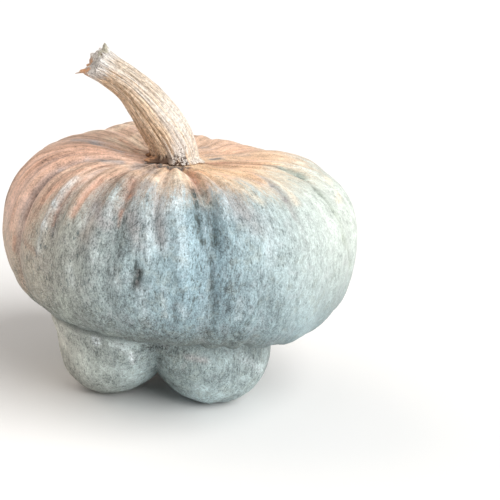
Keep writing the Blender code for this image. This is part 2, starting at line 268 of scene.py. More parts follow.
# Nubs round the stem's foot, as (angle, half angle, reach, half height as a place)
STEM_NUBS = (
    (0.42, 0.22, 0.0052, 0.032),
    (1.02, 0.24, 0.0036, 0.046),
    (1.55, 0.22, 0.0042, 0.050),
    (2.02, 0.20, 0.0042, 0.044),
    (2.46, 0.20, 0.0080, 0.038),
    (3.20, 0.24, 0.0030, 0.030),
    (3.90, 0.26, 0.0030, 0.035),
    (4.70, 0.26, 0.0026, 0.030),
    (5.40, 0.26, 0.0032, 0.035),
    (0.72, 0.09, 0.0016, 0.030),
    (1.25, 0.08, 0.0018, 0.022),
    (1.40, 0.07, -0.0014, 0.030),
    (1.80, 0.08, -0.0018, 0.030),
    (2.25, 0.08, 0.0016, 0.030),
    (2.38, 0.07, -0.0016, 0.030),
    (2.95, 0.09, -0.0014, 0.030),
    (2.26, 0.13, 0.0052, 0.024),
    (1.72, 0.10, 0.0026, 0.020),
    (1.30, 0.09, 0.0022, 0.020),
)
STEM_NUB_PLACE = 0.012

# The torn end: waves round it (count, size, phase), and tears (angle, half angle, size)
STEM_TORN_REACH = 0.0055
STEM_TORN_PLACE = 0.80
STEM_JAGS = (
    (3, 0.16, 3.93),
    (8, 0.12, 0.00),
    (17, 0.08, 1.00),
)
STEM_TEARS = (
    (0.45, 0.16, -0.35),
    (1.65, 0.75, -0.55),
    (3.14, 0.30, 0.15),
    (4.40, 0.80, 0.60),
)
# Splinters at the torn end, as (angle, half angle, start place, offset)
STEM_SPLINTERS = (
    (0.06, 0.36, 0.945, (0.0006, 0.0, 0.0024)),
    (3.24, 0.030, 0.985, (-0.0062, 0.0, -0.0020)),
)
STEM_HOLLOW_DEPTH = 0.0015
STEM_HOLLOW_ROUGHNESS = 0.0009
STEM_HOLLOW_WAVES = (40, 7, 23)
STEM_HOLLOW_RINGS = 14

# Skin colours under the bloom, and the bloom's own colours, as linear red, green and blue.
# The low green, groove grey, mauve grey, rust and dark fleck also serve in part as painted shade,
# and the pale, the wax cream and the glint in part as painted light and painted highlights
SALMON = (0.55, 0.37, 0.29)
CREAM = (0.90, 0.65, 0.42)
BLUSH = (0.64, 0.36, 0.25)
RUST_AND_SHADOW = (0.42, 0.22, 0.15)
GREEN_GREY = (0.29, 0.32, 0.29)
SKY_BLUE = (0.25, 0.37, 0.43)
BEIGE = (0.44, 0.35, 0.26)
PALE = (0.66, 0.72, 0.66)
LOW_GREEN = (0.14, 0.17, 0.16)
GROOVE_GREY = (0.36, 0.33, 0.33)
MAUVE = (0.36, 0.32, 0.33)
MAUVE_GREY = (0.345, 0.325, 0.325)
SAGE = (0.44, 0.49, 0.43)
WAX_AND_HIGHLIGHT = (0.86, 0.72, 0.56)
LOBE_PALE = (0.48, 0.55, 0.53)
FLECK_AND_SHADE = (0.10, 0.13, 0.13)
GLINT = (0.70, 0.76, 0.78)

# Cork colours of the stem; the cream and the white are also painted light on its right side, in part
STEM_TAN = (0.98, 0.74, 0.52)
STEM_CREAM = (0.88, 0.78, 0.65)
STEM_WHITE = (0.93, 0.91, 0.88)
STEM_BROWN = (0.28, 0.155, 0.08)
STEM_DARK = (0.09, 0.052, 0.034)
STEM_GREY = (0.30, 0.30, 0.31)
STEM_ORANGE = (0.62, 0.34, 0.19)
STEM_OLIVE = (0.46, 0.43, 0.34)

# Middle of the bloom's edge round the fruit as (azimuth, place), and its half width as a place
BLOOM_EDGE = (
    (-180, 0.30), (-140, 0.33), (-100, 0.40), (-75, 0.40), (-60, 0.36), (-45, 0.29), (-30, 0.25),
    (-15, 0.230), (0, 0.225), (30, 0.225), (45, 0.22), (60, 0.20), (90, 0.21), (130, 0.28),
)
BLOOM_EDGE_WIDTHS = (
    (-90, 0.075), (-30, 0.075), (10, 0.060), (40, 0.065), (60, 0.07), (90, 0.08), (180, 0.07),
)

# Tints round the fruit, as (azimuth, share)
CREAM_ROUND = (
    (-180, 0.3), (-110, 0.15), (-60, 0.1), (-30, 0.25), (-10, 0.6), (10, 0.75), (30, 0.9),
    (60, 0.95), (90, 0.8), (140, 0.4),
)
BLUE_ROUND = (
    (-180, 0.5), (-110, 0.1), (-60, 0.0), (-45, 0.1), (-30, 0.30), (-15, 0.70), (0, 1.0),
    (15, 0.85), (30, 0.85), (60, 0.6), (90, 0.4), (130, 0.5),
)
# The pale tint is strongest on the upper right, where the light falls: partly the bloom's own paleness,
# partly painted light
PALE_ROUND = (
    (-180, 0.2), (-60, 0.05), (-20, 0.1), (0, 0.1), (12, 0.0), (30, 0.3), (45, 0.6), (60, 0.85),
    (80, 1.0), (100, 0.8), (140, 0.3),
)
BEIGE_ROUND = (
    (-180, 0.2), (-110, 0.7), (-75, 1.0), (-55, 0.7), (-42, 0.35), (-25, 0.1), (0, 0.0), (60, 0.0),
    (120, 0.1),
)
# The low tint darkens the lower cap towards the rim: partly its own grey-green, partly painted shade
LOW_ROUND = (
    (-180, 0.8), (-60, 0.85), (-30, 1.0), (15, 1.0), (30, 0.85), (45, 0.45), (60, 0.3), (90, 0.35),
    (130, 0.7),
)
# On the turban the low tint is painted shade in the clefts between the lobes
CLEFT_ROUND = (
    (-180, 0.1), (-120, 0.6), (-90, 0.0), (-25, 0.0), (-10, 0.15), (0, 0.75), (14, 0.65), (28, 0.1),
    (45, 0.0), (55, 0.15), (70, 0.0), (100, 0.0), (120, 0.6), (140, 0.1),
)
CALM_ROUND = (
    (-180, 0.3), (0, 0.0), (25, 0.15), (45, 0.45), (65, 0.6), (100, 0.5),
)
# Places over which the pale tint ends, the low tint starts, the cap's underside turns dark
# with painted shade under the rim, and the turban's own tint starts
PALE_END_PLACES = (0.30, 0.52)
LOW_START_PLACES = (0.38, 0.55)
UNDERSIDE_PLACES = (0.50, 0.57)
TURBAN_PLACES = (0.670, 0.700)
TURBAN_CALM = 0.2

# The cap's grain is read on a cylinder of this radius and length, the turban's in space
GRAIN_RADIUS = 0.12
GRAIN_LENGTH = 0.40

# Strokes of each tint on the rind, as (azimuth, place, azimuth, place, half width, amount),
# where the first two are one end and the next two the other
BLUSH_STROKES = (
    (-52.3, 0.304, -50.5, 0.271, 0.0028, 0.72),
    (-37.1, 0.308, -35.1, 0.243, 0.0028, 0.8),
    (-51.6, 0.258, -44.6, 0.184, 0.0023, 0.48),
    (-36.3, 0.238, -30.3, 0.197, 0.0023, 0.4),
    (6.5, 0.190, 16.0, 0.120, 0.0050, 0.62),
    (59.3, 0.122, 44.1, 0.211, 0.0037, 0.36),
    (29.6, 0.132, 29.9, 0.184, 0.0037, 0.32),
    (-67.5, 0.345, -63.0, 0.376, 0.0074, 0.32),
    (-28.4, 0.285, -30.8, 0.330, 0.0046, 0.28),
    (-78.0, 0.165, -70.0, 0.255, 0.0130, 0.55),
    (-92.0, 0.190, -86.0, 0.300, 0.0120, 0.40),
    (-76.0, 0.270, -72.0, 0.330, 0.0100, 0.40),
    (-62.0, 0.305, -58.0, 0.340, 0.0070, 0.30),
    (-62.0, 0.155, -60.0, 0.225, 0.0080, 0.30),
    (56.0, 0.090, 62.0, 0.145, 0.0090, 0.35),
    (80.0, 0.095, 92.0, 0.150, 0.0110, 0.50),
    (130.0, 0.100, 140.0, 0.190, 0.0140, 0.40),
)
RUST_AND_SHADOW_STROKES = (
    (-22.6, 0.214, -20.0, 0.255, 0.0034, 0.62),
    (-20.0, 0.255, -21.0, 0.289, 0.0024, 0.34),
    (-37.2, 0.300, -36.6, 0.250, 0.0022, 0.35),
    (-12.1, 0.367, -12.4, 0.386, 0.0022, 0.35),
    (-57.5, 0.368, -61.6, 0.336, 0.0009, 0.54),
    (-61.6, 0.336, -60.8, 0.306, 0.0009, 0.81),
    (-60.8, 0.306, -57.5, 0.273, 0.0009, 0.72),
    (-57.5, 0.273, -56.3, 0.252, 0.0008, 0.45),
    (-44.3, 0.330, -44.6, 0.299, 0.0011, 0.54),
    (-44.6, 0.299, -44.3, 0.275, 0.0014, 0.41),
    (-43.6, 0.271, -43.1, 0.244, 0.0011, 0.45),
    (-20.3, 0.307, -20.8, 0.281, 0.0014, 0.45),
    (13.3, 0.195, 11.1, 0.250, 0.0018, 0.45),
    (-63.5, 0.374, -63.5, 0.393, 0.0018, 0.54),
    (-55.0, 0.365, -48.8, 0.376, 0.0021, 0.32),
    (-112.0, 0.120, -94.2, 0.061, 0.0012, 0.85),
    (-125.0, 0.155, -119.0, 0.100, 0.0013, 0.85),
    (-88.0, 0.113, -49.6, 0.095, 0.0007, 0.54),
    (-85.1, 0.229, -77.8, 0.161, 0.0007, 0.36),
    (12.6, 0.105, 9.0, 0.180, 0.0016, 0.80),
    (9.0, 0.180, 6.0, 0.222, 0.0034, 0.42),
    (73.3, 0.064, 78.3, 0.114, 0.0011, 0.8),
    (78.3, 0.114, 77.0, 0.162, 0.0011, 0.8),
    (77.0, 0.162, 76.0, 0.190, 0.0014, 0.5),
    (-61.6, 0.263, -61.8, 0.305, 0.0026, 0.35),
    (-61.8, 0.305, -58.0, 0.355, 0.0024, 0.35),
    (-60.1, 0.407, -65.6, 0.475, 0.0036, 0.27),
    # These last three circle the stem's foot: partly dry matter, partly painted shadow where the foot
    # meets the rind
    (-50.0, 0.092, -30.0, 0.088, 0.0044, 1.4),
    (-30.0, 0.088, 2.0, 0.081, 0.0038, 1.3),
    (2.0, 0.081, 20.0, 0.080, 0.0030, 1.3),
)
# Mauve-grey strokes: partly the bloom's own mauve, partly painted shade in valleys between ribs and a
# dimple by the stem
MAUVE_STROKES = (
    (-103.0, 0.215, -100.0, 0.173, 0.0030, 0.7),
    (-100.0, 0.173, -91.0, 0.122, 0.0038, 0.90),
    (-62.5, 0.195, -51.0, 0.184, 0.0026, 0.5),
    (-51.0, 0.184, -47.3, 0.150, 0.0028, 0.8),
    (-62.5, 0.246, -53.0, 0.197, 0.0017, 0.5),
    (100.7, 0.080, 106.0, 0.100, 0.0032, 1.0),
    (-15.8, 0.240, -15.6, 0.199, 0.0026, 0.4),
    (-9.0, 0.268, -6.6, 0.318, 0.0040, 0.5),
    (-30.1, 0.286, -24.6, 0.311, 0.0035, 0.7),
    (-24.9, 0.282, -22.4, 0.308, 0.0026, 0.4),
    (22.1, 0.253, 25.6, 0.299, 0.0061, 0.5),
    (-13.6, 0.226, -8.8, 0.256, 0.0026, 0.5),
    (-44.3, 0.303, -43.3, 0.343, 0.0017, 0.5),
    (50.3, 0.187, 46.4, 0.223, 0.0019, 0.5),
    (46.4, 0.223, 44.8, 0.256, 0.0020, 0.6),
    (44.8, 0.256, 42.7, 0.290, 0.0020, 0.45),
    (14.8, 0.724, 23.1, 0.729, 0.0035, 0.7),
    (-16.9, 0.291, -12.6, 0.330, 0.0043, 0.5),
    (125.0, 0.080, 112.0, 0.150, 0.0026, 0.35),
    (150.0, 0.064, 164.0, 0.090, 0.0034, 1.0),
    (164.0, 0.090, 160.0, 0.140, 0.0040, 0.5),
    (-40.0, 0.105, -30.0, 0.165, 0.0040, 0.6),
    (-22.0, 0.110, -16.0, 0.180, 0.0034, 0.6),
    (-22.0, 0.215, -14.0, 0.300, 0.0070, 0.35),
    (-33.0, 0.250, -28.0, 0.330, 0.0070, 0.30),
    (16.0, 0.190, 20.0, 0.280, 0.0060, 0.35),
    (-7.0, 0.245, -5.0, 0.330, 0.0040, 0.35),
)
SAGE_STROKES = (
    (76.0, 0.170, 76.5, 0.193, 0.0018, 0.7),
    (76.5, 0.193, 74.2, 0.226, 0.0026, 0.9),
    (74.2, 0.226, 64.2, 0.265, 0.0032, 0.9),
    (64.2, 0.265, 63.1, 0.300, 0.0034, 0.8),
    (63.1, 0.300, 63.0, 0.341, 0.0037, 0.6),
    (63.0, 0.341, 72.8, 0.393, 0.0028, 0.6),
    (10.4, 0.229, 10.8, 0.250, 0.0037, 0.5),
    (29.3, 0.182, 30.8, 0.265, 0.0019, 0.3),
    (-38.9, 0.440, -48.8, 0.665, 0.0056, 0.4),
)
# Pale strokes: partly pale bloom and white scratches, partly painted highlights on rib tops and lobes
LIGHT_STROKES = (
    (-47.6, 0.369, -47.0, 0.334, 0.0027, 0.35),
    (-47.0, 0.334, -46.3, 0.303, 0.0027, 0.49),
    (-46.3, 0.303, -45.6, 0.253, 0.0023, 0.59),
    (-9.3, 0.350, -10.4, 0.315, 0.0026, 0.26),
    (-10.4, 0.315, -11.6, 0.278, 0.0024, 0.20),
    (-24.4, 0.296, -25.3, 0.253, 0.0019, 0.32),
    (-32.3, 0.321, -30.6, 0.292, 0.0023, 0.32),
    (-2.6, 0.266, -1.3, 0.235, 0.0039, 0.42),
    (-1.6, 0.266, 1.1, 0.345, 0.0039, 0.28),
    (19.1, 0.221, 15.6, 0.281, 0.0031, 0.32),
    (-18.6, 0.369, -17.4, 0.385, 0.0031, 0.35),
    (-34.4, 0.382, -33.1, 0.404, 0.0031, 0.28),
    (-26.6, 0.334, -25.9, 0.359, 0.0031, 0.32),
    (30.6, 0.282, 28.8, 0.346, 0.0039, 0.21),
    (-10.9, 0.390, -8.6, 0.455, 0.0035, 0.24),
    (-4.1, 0.385, -2.6, 0.432, 0.0023, 0.21),
    (1.1, 0.408, 2.8, 0.425, 0.0031, 0.28),
    (19.1, 0.399, 19.3, 0.430, 0.0031, 0.28),
    (-24.1, 0.707, -14.4, 0.737, 0.0046, 0.32),
    (-16.4, 0.730, -16.6, 0.760, 0.0016, 1.1),
    (42.9, 0.723, 59.5, 0.766, 0.0046, 0.35),
    (-34.9, 0.698, -33.8, 0.710, 0.0020, 1.5),
    (-32.6, 0.698, -34.6, 0.714, 0.0016, 1.5),
    (-4.8, 0.190, 0.6, 0.225, 0.0039, 0.21),
)
# Cream strokes: partly the skin's own waxy cream, partly painted highlights on humps behind and left of
# the stem
WAX_AND_HIGHLIGHT_STROKES = (
    (-4.6, 0.144, -1.3, 0.217, 0.0031, 0.9),
    (0.5, 0.110, 3.0, 0.190, 0.0060, 0.75),
    (-16.8, 0.204, -11.1, 0.205, 0.0025, 0.5),
    (-20.3, 0.156, -10.1, 0.142, 0.0019, 0.45),
    (-44.3, 0.199, -34.4, 0.158, 0.0010, 0.5),
    (22.4, 0.174, 27.4, 0.224, 0.0019, 0.6),
    (27.4, 0.224, 31.3, 0.261, 0.0019, 0.5),
    (51.8, 0.202, 46.6, 0.269, 0.0025, 0.7),
    (104.3, 0.228, 74.8, 0.292, 0.0025, 0.7),
    (-56.3, 0.252, -47.6, 0.220, 0.0010, 0.4),
    (-118.0, 0.160, -104.0, 0.085, 0.0052, 0.85),
    (-137.6, 0.150, -130.0, 0.100, 0.0040, 0.80),
    (-150.0, 0.200, -128.0, 0.230, 0.0060, 0.6),
)
# Dark strokes: partly dark dots and dashes of the rind, partly painted shade in grooves, the dent and a
# dimple
DARK_STROKES = (
    (5.3, 0.215, 5.8, 0.238, 0.0014, 1.8),
    (6.0, 0.249, 5.9, 0.262, 0.0013, 1.8),
    (5.5, 0.276, 5.3, 0.302, 0.0012, 2.0),
    (5.4, 0.210, 6.0, 0.322, 0.0032, 0.28),
    (6.4, 0.316, 7.7, 0.319, 0.0012, 1.6),
    (10.7, 0.312, 10.8, 0.319, 0.0014, 1.7),
    (8.3, 0.259, 9.1, 0.292, 0.0021, 0.5),
    (11.8, 0.251, 10.4, 0.315, 0.0029, 0.55),
    (11.1, 0.226, 11.1, 0.250, 0.0021, 0.39),
    (8.3, 0.328, 8.4, 0.344, 0.0018, 0.33),
    (8.4, 0.344, 10.6, 0.382, 0.0014, 0.33),
    (10.6, 0.382, 11.9, 0.450, 0.0018, 0.5),
    (7.8, 0.778, 16.3, 0.788, 0.0043, 0.39),
    (25.9, 0.299, 25.3, 0.330, 0.0011, 0.39),
    (24.6, 0.358, 25.6, 0.381, 0.0011, 0.5),
    (26.3, 0.401, 22.4, 0.442, 0.0021, 0.66),
    (22.4, 0.442, 22.3, 0.473, 0.0014, 0.55),
    (39.3, 0.408, 42.9, 0.455, 0.0014, 0.5),
    (28.8, 0.410, 36.9, 0.451, 0.0043, 0.33),
    (5.1, 0.395, 4.4, 0.416, 0.0009, 0.94),
    (1.8, 0.383, 1.6, 0.401, 0.0009, 0.55),
    (-0.8, 0.359, -0.4, 0.373, 0.0010, 0.77),
    (-0.6, 0.402, -0.4, 0.453, 0.0021, 0.44),
    (-12.8, 0.352, -13.3, 0.369, 0.0014, 0.88),
    (-12.1, 0.367, -12.3, 0.384, 0.0023, 0.99),
    (-12.9, 0.382, -13.3, 0.391, 0.0017, 0.77),
    (-12.3, 0.393, -11.9, 0.400, 0.0011, 0.55),
    (-9.9, 0.704, -10.6, 0.722, 0.0009, 0.88),
    (-10.6, 0.722, -13.3, 0.730, 0.0009, 0.88),
    (-0.6, 0.726, 1.3, 0.776, 0.0021, 0.5),
    (23.6, 0.731, 20.6, 0.747, 0.0010, 0.77),
    (-27.8, 0.498, -32.1, 0.555, 0.0011, 0.88),
    (-30.6, 0.338, -27.4, 0.363, 0.0021, 0.28),
    (-33.6, 0.328, -33.4, 0.330, 0.0009, 0.99),
    (-25.3, 0.322, -25.1, 0.326, 0.0009, 0.99),
    (-48.5, 0.374, -48.3, 0.376, 0.0009, 0.88),
    (-24.1, 0.373, -23.9, 0.378, 0.0009, 0.88),
    (-28.4, 0.390, -28.1, 0.395, 0.0009, 0.77),
    (-20.1, 0.407, -19.8, 0.411, 0.0009, 0.88),
    (11.9, 0.400, 11.9, 0.403, 0.0010, 0.88),
    (-26.8, 0.755, -26.4, 0.761, 0.0009, 0.88),
    (-20.3, 0.758, -18.8, 0.758, 0.0009, 0.88),
    (-41.1, 0.749, -40.8, 0.753, 0.0009, 0.66),
    (-9.4, 0.455, -9.3, 0.462, 0.0009, 0.77),
    # These three circle the stem's foot: partly dry matter, partly painted shadow where the foot meets
    # the rind
    (-44.0, 0.088, -30.0, 0.084, 0.0040, 1.5),
    (-30.0, 0.084, 4.0, 0.077, 0.0034, 1.5),
    (4.0, 0.077, 19.0, 0.076, 0.0026, 0.9),
    (-57.0, 0.098, -55.0, 0.100, 0.0014, 1.0),
    (150.0, 0.064, 166.0, 0.078, 0.0026, 0.5),
    (100.6, 0.082, 101.0, 0.094, 0.0020, 0.8),
    (76.5, 0.193, 74.2, 0.226, 0.0020, 0.45),
    (74.2, 0.226, 64.2, 0.265, 0.0022, 0.50),
    (64.2, 0.265, 63.1, 0.300, 0.0022, 0.40),
    (48.0, 0.205, 44.8, 0.256, 0.0014, 0.25),
    (-61.6, 0.263, -61.8, 0.305, 0.0024, 0.40),
    (-61.8, 0.305, -58.0, 0.355, 0.0022, 0.45),
    (-58.0, 0.355, -57.5, 0.375, 0.0018, 0.40),
)

# Strokes that lighten or darken the rind, as (azimuth, place, azimuth, place, half width, amount):
# partly its own tone, partly painted light in shaded hollows and painted shade on ribs facing the light
TONE_STROKES = (
    (14.0, 0.310, 16.0, 0.400, 0.0080, -0.30),
    (7.0, 0.215, 8.5, 0.300, 0.0060, -0.16),
    (-7.0, 0.320, -5.0, 0.430, 0.0070, 0.18),
    (-1.6, 0.268, 1.2, 0.352, 0.0090, 0.16),
    (-92.0, 0.170, -88.0, 0.300, 0.0120, 0.12),
    (-61.0, 0.315, -58.0, 0.345, 0.0070, 0.14),
    (-78.0, 0.230, -74.0, 0.270, 0.0090, -0.08),
    (-29.0, 0.115, -27.0, 0.135, 0.0050, -0.30),
    (12.0, 0.350, 17.0, 0.400, 0.0070, 0.04),
    (55.0, 0.105, 95.0, 0.125, 0.0110, -0.16),
    (16.0, 0.722, 40.0, 0.730, 0.0110, 0.20),
    (-62.0, 0.735, -45.0, 0.775, 0.0120, 0.34),
    (-17.0, 0.790, -14.0, 0.850, 0.0080, 0.45),
    (-32.0, 0.720, -22.0, 0.712, 0.0070, 0.25),
    (44.0, 0.450, 58.0, 0.540, 0.0140, 0.36),
    (-20.0, 0.170, -30.0, 0.110, 0.0080, -0.14),
    (-25.0, 0.245, -32.0, 0.285, 0.0060, -0.12),
    (-12.0, 0.090, -45.0, 0.110, 0.0050, -0.22),
    (-72.0, 0.105, -76.0, 0.250, 0.0110, -0.18),
    (-17.0, 0.235, -15.0, 0.330, 0.0066, -0.20),
    (15.0, 0.420, 15.0, 0.460, 0.0070, -0.15),
    (30.0, 0.800, 28.0, 0.840, 0.0080, 0.25),
    (48.0, 0.240, 62.0, 0.290, 0.0120, 0.10),
    (15.0, 0.115, 17.0, 0.135, 0.0040, 0.14),
    (-64.0, 0.285, -62.5, 0.345, 0.0030, -0.12),
    (-28.0, 0.205, -25.0, 0.290, 0.0056, -0.24),
    (4.0, 0.100, 8.0, 0.150, 0.0040, -0.12),
)

# Noises of the two materials, as (waves across, waves along, detail, roughness)
BROAD_NOISE = (42.0, 42.0, 3.0, 0.6)
HUE_NOISE = (115.0, 115.0, 3.0, 0.65)
BAND_NOISE = (170.0, 18.0, 3.0, 0.6)
MOTTLE_NOISE = (300.0, 170.0, 3.0, 0.65)
STREAK_NOISE = (620.0, 200.0, 3.0, 0.6)
FINE_NOISE = (1250.0, 800.0, 2.0, 0.6)
DASH_NOISE = (900.0, 330.0, 2.0, 0.5)
SPECKLE_NOISE = (1000.0, 1000.0, 2.0, 0.6)
STRAND_NOISE = (4.0, 3.0, 3.0, 0.6)
FIBRE_NOISE = (16.0, 3.0, 4.0, 0.7)
THREAD_NOISE = (34.0, 6.0, 3.0, 0.65)
CRACK_NOISE = (60.0, 16.0, 2.0, 0.6)
CRACKLE_NOISE = (480.0, 480.0, 3.0, 0.65)

# Roughness from least to most, specular level, and bumps as (distance, strength)
RIND_ROUGHNESS = (0.48, 0.66)
RIND_SPECULAR = 0.35
MOTTLE_BUMP = (0.0008, 0.4)
FINE_BUMP = (0.0003, 0.6)
STEM_ROUGHNESS = (0.75, 0.95)
STEM_SPECULAR = 0.2
FIBRE_BUMP = (0.0008, 0.7)
THREAD_BUMP = (0.0006, 0.8)

# The photo's view: the camera's turn about the fruit, and what it aims at
VIEW_ELEVATION = 17.0
VIEW_DISTANCE = 1.0
VIEW_CENTRE = (0.0, 0.0, 0.105)
VIEW_AIM = (0.0476, 0.0, 0.0995)
VIEW_ROLL = 5.0
SENSOR_WIDTH = 36.0
LENS = 105.84
CLIP_START = 0.01
CLIP_END = 100.0

# Soft lights, as (name, azimuth, elevation, strength, angle across, colour)
SUNS = (
    ("key", 54.0, 44.0, 3.3, 60.0, (1.0, 0.99, 0.97)),
    ("warm_fill", -115.0, 38.0, 0.9, 60.0, (1.0, 0.86, 0.74)),
)
SURROUND_STRENGTH = 0.38

FLOOR_HALF_SIZE = 30.0
FLOOR_DROP = 0.0002
FLOOR_GREY = (0.88, 0.88, 0.88)
FLOOR_ROUGHNESS = 0.8


def smooth_step(low, high, values):
    """Rise from 0 at low to 1 at high, level at both ends."""
    part = np.clip((values - low) / (high - low), 0.0, 1.0)
    return part * part * (3.0 - 2.0 * part)


def bell(gaps, half_width):
    """1 where there is no gap, falling softly to nearly 0 at two half widths."""
    return np.exp(-((gaps / half_width) ** 2))


def spline(knots, places):
    """Points at the given places (0 to 1) along a Catmull-Rom curve through the knots."""
    knots = np.asarray(knots, dtype=float)
    padded = np.vstack((2 * knots[0] - knots[1], knots, 2 * knots[-1] - knots[-2]))
    spans = len(knots) - 1
    along = np.clip(np.asarray(places, dtype=float) * spans, 0.0, spans)
    index = np.minimum(along.astype(int), spans - 1)
    t = (along - index)[:, None]
    before, start, end, after = (padded[index + step] for step in range(4))
    linear = end - before
    square = 2 * before - 5 * start + 4 * end - after
    cube = 3 * start - 3 * end + after - before
    return start + 0.5 * t * (linear + t * (square + t * cube))


def degrees_apart(azimuths, azimuth):
    """Signed angle from one azimuth to each of the others."""
    return (azimuths - azimuth + 180.0) % 360.0 - 180.0


def swell(azimuths, swells):
    """Sum of the rounded swells at each azimuth."""
    rise = np.zeros_like(azimuths)
    for azimuth, half_angle, most in swells:
        rise = rise + most * bell(degrees_apart(azimuths, azimuth), half_angle)
    return rise


def ball_reach(apart):
    """Distance from the turban's axis to a lobe's ball, apart degrees from its middle."""
    turn = np.radians(apart)
    across = LOBE_BALL_DISTANCE * np.sin(turn)
    return LOBE_BALL_DISTANCE * np.cos(turn) + np.sqrt(LOBE_BALL_RADIUS**2 - across**2)


def lobe_weights(azimuths):
    """How far each azimuth is into a lobe (1) or a cleft (0), its stretch and its flare."""
    weights = np.zeros_like(azimuths)
    stretches = np.zeros_like(azimuths)
    flares = np.zeros_like(azimuths)
    cleft_reach = ball_reach(LOBE_HALF_SPAN)
    lobe_reach = ball_reach(0.0)
    for azimuth, stretch, flare in zip(LOBE_AZIMUTHS, LOBE_STRETCHES, LOBE_FLARES):
        apart = degrees_apart(azimuths, azimuth)
        inside = np.abs(apart) <= LOBE_HALF_SPAN
        reach = ball_reach(np.clip(apart, -LOBE_HALF_SPAN, LOBE_HALF_SPAN))
        weight = (reach - cleft_reach) / (lobe_reach - cleft_reach)
        weights = np.where(inside, weight, weights)
        stretches = np.where(inside, stretch * weight, stretches)
        flares = np.where(inside, flare * weight, flares)
    return weights, stretches, flares


def groove_lines():
    """Azimuth, upper depth and lower depth of every groove, in order round the fruit."""
    draw = random.Random(SEED)
    first = FRONT_GROOVES[0][0]
    last = FRONT_GROOVES[-1][0]
    step = (first + 360.0 - last) / (BACK_GROOVE_COUNT + 1)
    grooves = list(FRONT_GROOVES)
    for number in range(1, BACK_GROOVE_COUNT + 1):
        wander = draw.uniform(-BACK_GROOVE_WANDER, BACK_GROOVE_WANDER)
        upper = draw.uniform(*BACK_UPPER_DEPTHS)
        lower = draw.uniform(*BACK_LOWER_DEPTHS)
        grooves.append((last + number * step + wander, upper, lower))
    return grooves


def rib_rows(turns):
    """Azimuth, upper and lower groove depth at each turn (0 to 1), each rib an equal turn."""
    grooves = groove_lines()
    azimuth, upper, lower = grooves[0]
    table = np.array(grooves + [(azimuth + 360.0, upper, lower)])
    along = (turns % 1.0) * len(grooves)
    rib = np.minimum(along.astype(int), len(grooves) - 1)
    part = (along - rib)[:, None]
    rows = table[rib] * (1.0 - part) + table[rib + 1] * part
    sharp = 1.0 - np.sin(np.pi * part[:, 0]) ** GROOVE_ROUNDNESS
    soft = (0.5 + 0.5 * np.cos(math.tau * part[:, 0])) ** GROOVE_SOFTNESS
    valley = soft + GROOVE_SHARP_SHARE * (sharp - soft)
    return rows[:, 0], rows[:, 1] * valley, rows[:, 2] * valley


def dent(azimuths, heights):
    """Depth of the dent at each azimuth and height."""
    across = bell(degrees_apart(azimuths, DENT_AZIMUTH), DENT_HALF_ANGLE)
    return DENT_DEPTH * across * bell(heights - DENT_HEIGHT, DENT_HALF_HEIGHT)


def fruit_outline(weights, places):
    """Radius and height on the fruit's outline, between cleft (0) and lobe (1)."""
    over_lobe = spline(CAP_OUTLINE + LOBE_OUTLINE, places)
    over_cleft = spline(CAP_OUTLINE + CLEFT_OUTLINE, places)
    return over_cleft + weights[:, None] * (over_lobe - over_cleft)


def outline_normals(weights, places):
    """Outward radius and height of the outline's normal."""
    nudge = 0.002
    ahead = fruit_outline(weights, np.minimum(places + nudge, 1.0))
    behind = fruit_outline(weights, np.maximum(places - nudge, 0.0))
    along = ahead - behind
    along /= np.linalg.norm(along, axis=1)[:, None]
    return -along[:, 1], along[:, 0]


def axis_shift(places, rim, on_turban):
    """Sideways place of the fruit's axis."""
    to_equator = smooth_step(0.0, EQUATOR_PLACES[0], places)
    to_rim = smooth_step(EQUATOR_PLACES[1], rim, places)
    shift = AXIS_AT_STEM + to_equator * (AXIS_AT_EQUATOR - AXIS_AT_STEM)
    shift = shift + to_rim * (AXIS_AT_RIM - AXIS_AT_EQUATOR)
    return shift + on_turban * (AXIS_AT_TURBAN - AXIS_AT_RIM)


def lattice_noise(turns, along, columns, rows, seed):
    """Smooth noise from -1 to 1 that closes round the fruit; along runs from 0 to 1."""
    values = np.random.default_rng(seed).uniform(-1.0, 1.0, (rows + 2, columns))
    across = (turns % 1.0) * columns
    down = np.clip(along, 0.0, 1.0) * rows
    column = across.astype(int)
    row = down.astype(int)
    right = across - column
    below = down - row
    right = right * right * (3.0 - 2.0 * right)
    below = below * below * (3.0 - 2.0 * below)
    column = column % columns
    beside = (column + 1) % columns
    upper = values[row, column] * (1.0 - right) + values[row, beside] * right
    lower = values[row + 1, column] * (1.0 - right) + values[row + 1, beside] * right
    return upper * (1.0 - below) + lower * below


def fruit_relief(azimuths, places, radius):
    """Low relief that the rind has beside its ribs, as a rise along its normal."""
    turns = azimuths / 360.0
    on_shoulder = smooth_step(*SHOULDER_START_PLACES, places)
    on_shoulder = on_shoulder * (1.0 - smooth_step(*SHOULDER_END_PLACES, places))
    rise = stroke_sum(azimuths, places, FOLDS)
    for most, columns, rows, seed, shoulder_alone in RIND_WAVES:
        wave = most * lattice_noise(turns, places, columns, rows, seed)
        rise = rise + (wave * on_shoulder if shoulder_alone else wave)
    return rise * smooth_step(*RELIEF_START_RADII, radius)


def stroke_sum(azimuths, places, table):
    """Sum of soft strokes over the rind, each from one azimuth and place to another."""
    total = np.zeros_like(places)
    for azimuth, place, last_azimuth, last_place, half_width, amount in table:
        middle = np.array([0.5 * (place + last_place)])
        radius = spline(CAP_OUTLINE + LOBE_OUTLINE, middle)[0, 0]
        scale = np.array((radius * math.radians(1.0), PLACE_LENGTH))
        run = np.array((degrees_apart(last_azimuth, azimuth), last_place - place)) * scale
        gap = np.column_stack((degrees_apart(azimuths, azimuth), places - place)) * scale
        share = np.clip(gap @ run / (run @ run), 0.0, 1.0)
        gap = gap - share[:, None] * run
        total = total + amount * bell(np.linalg.norm(gap, axis=1), half_width)
    return total


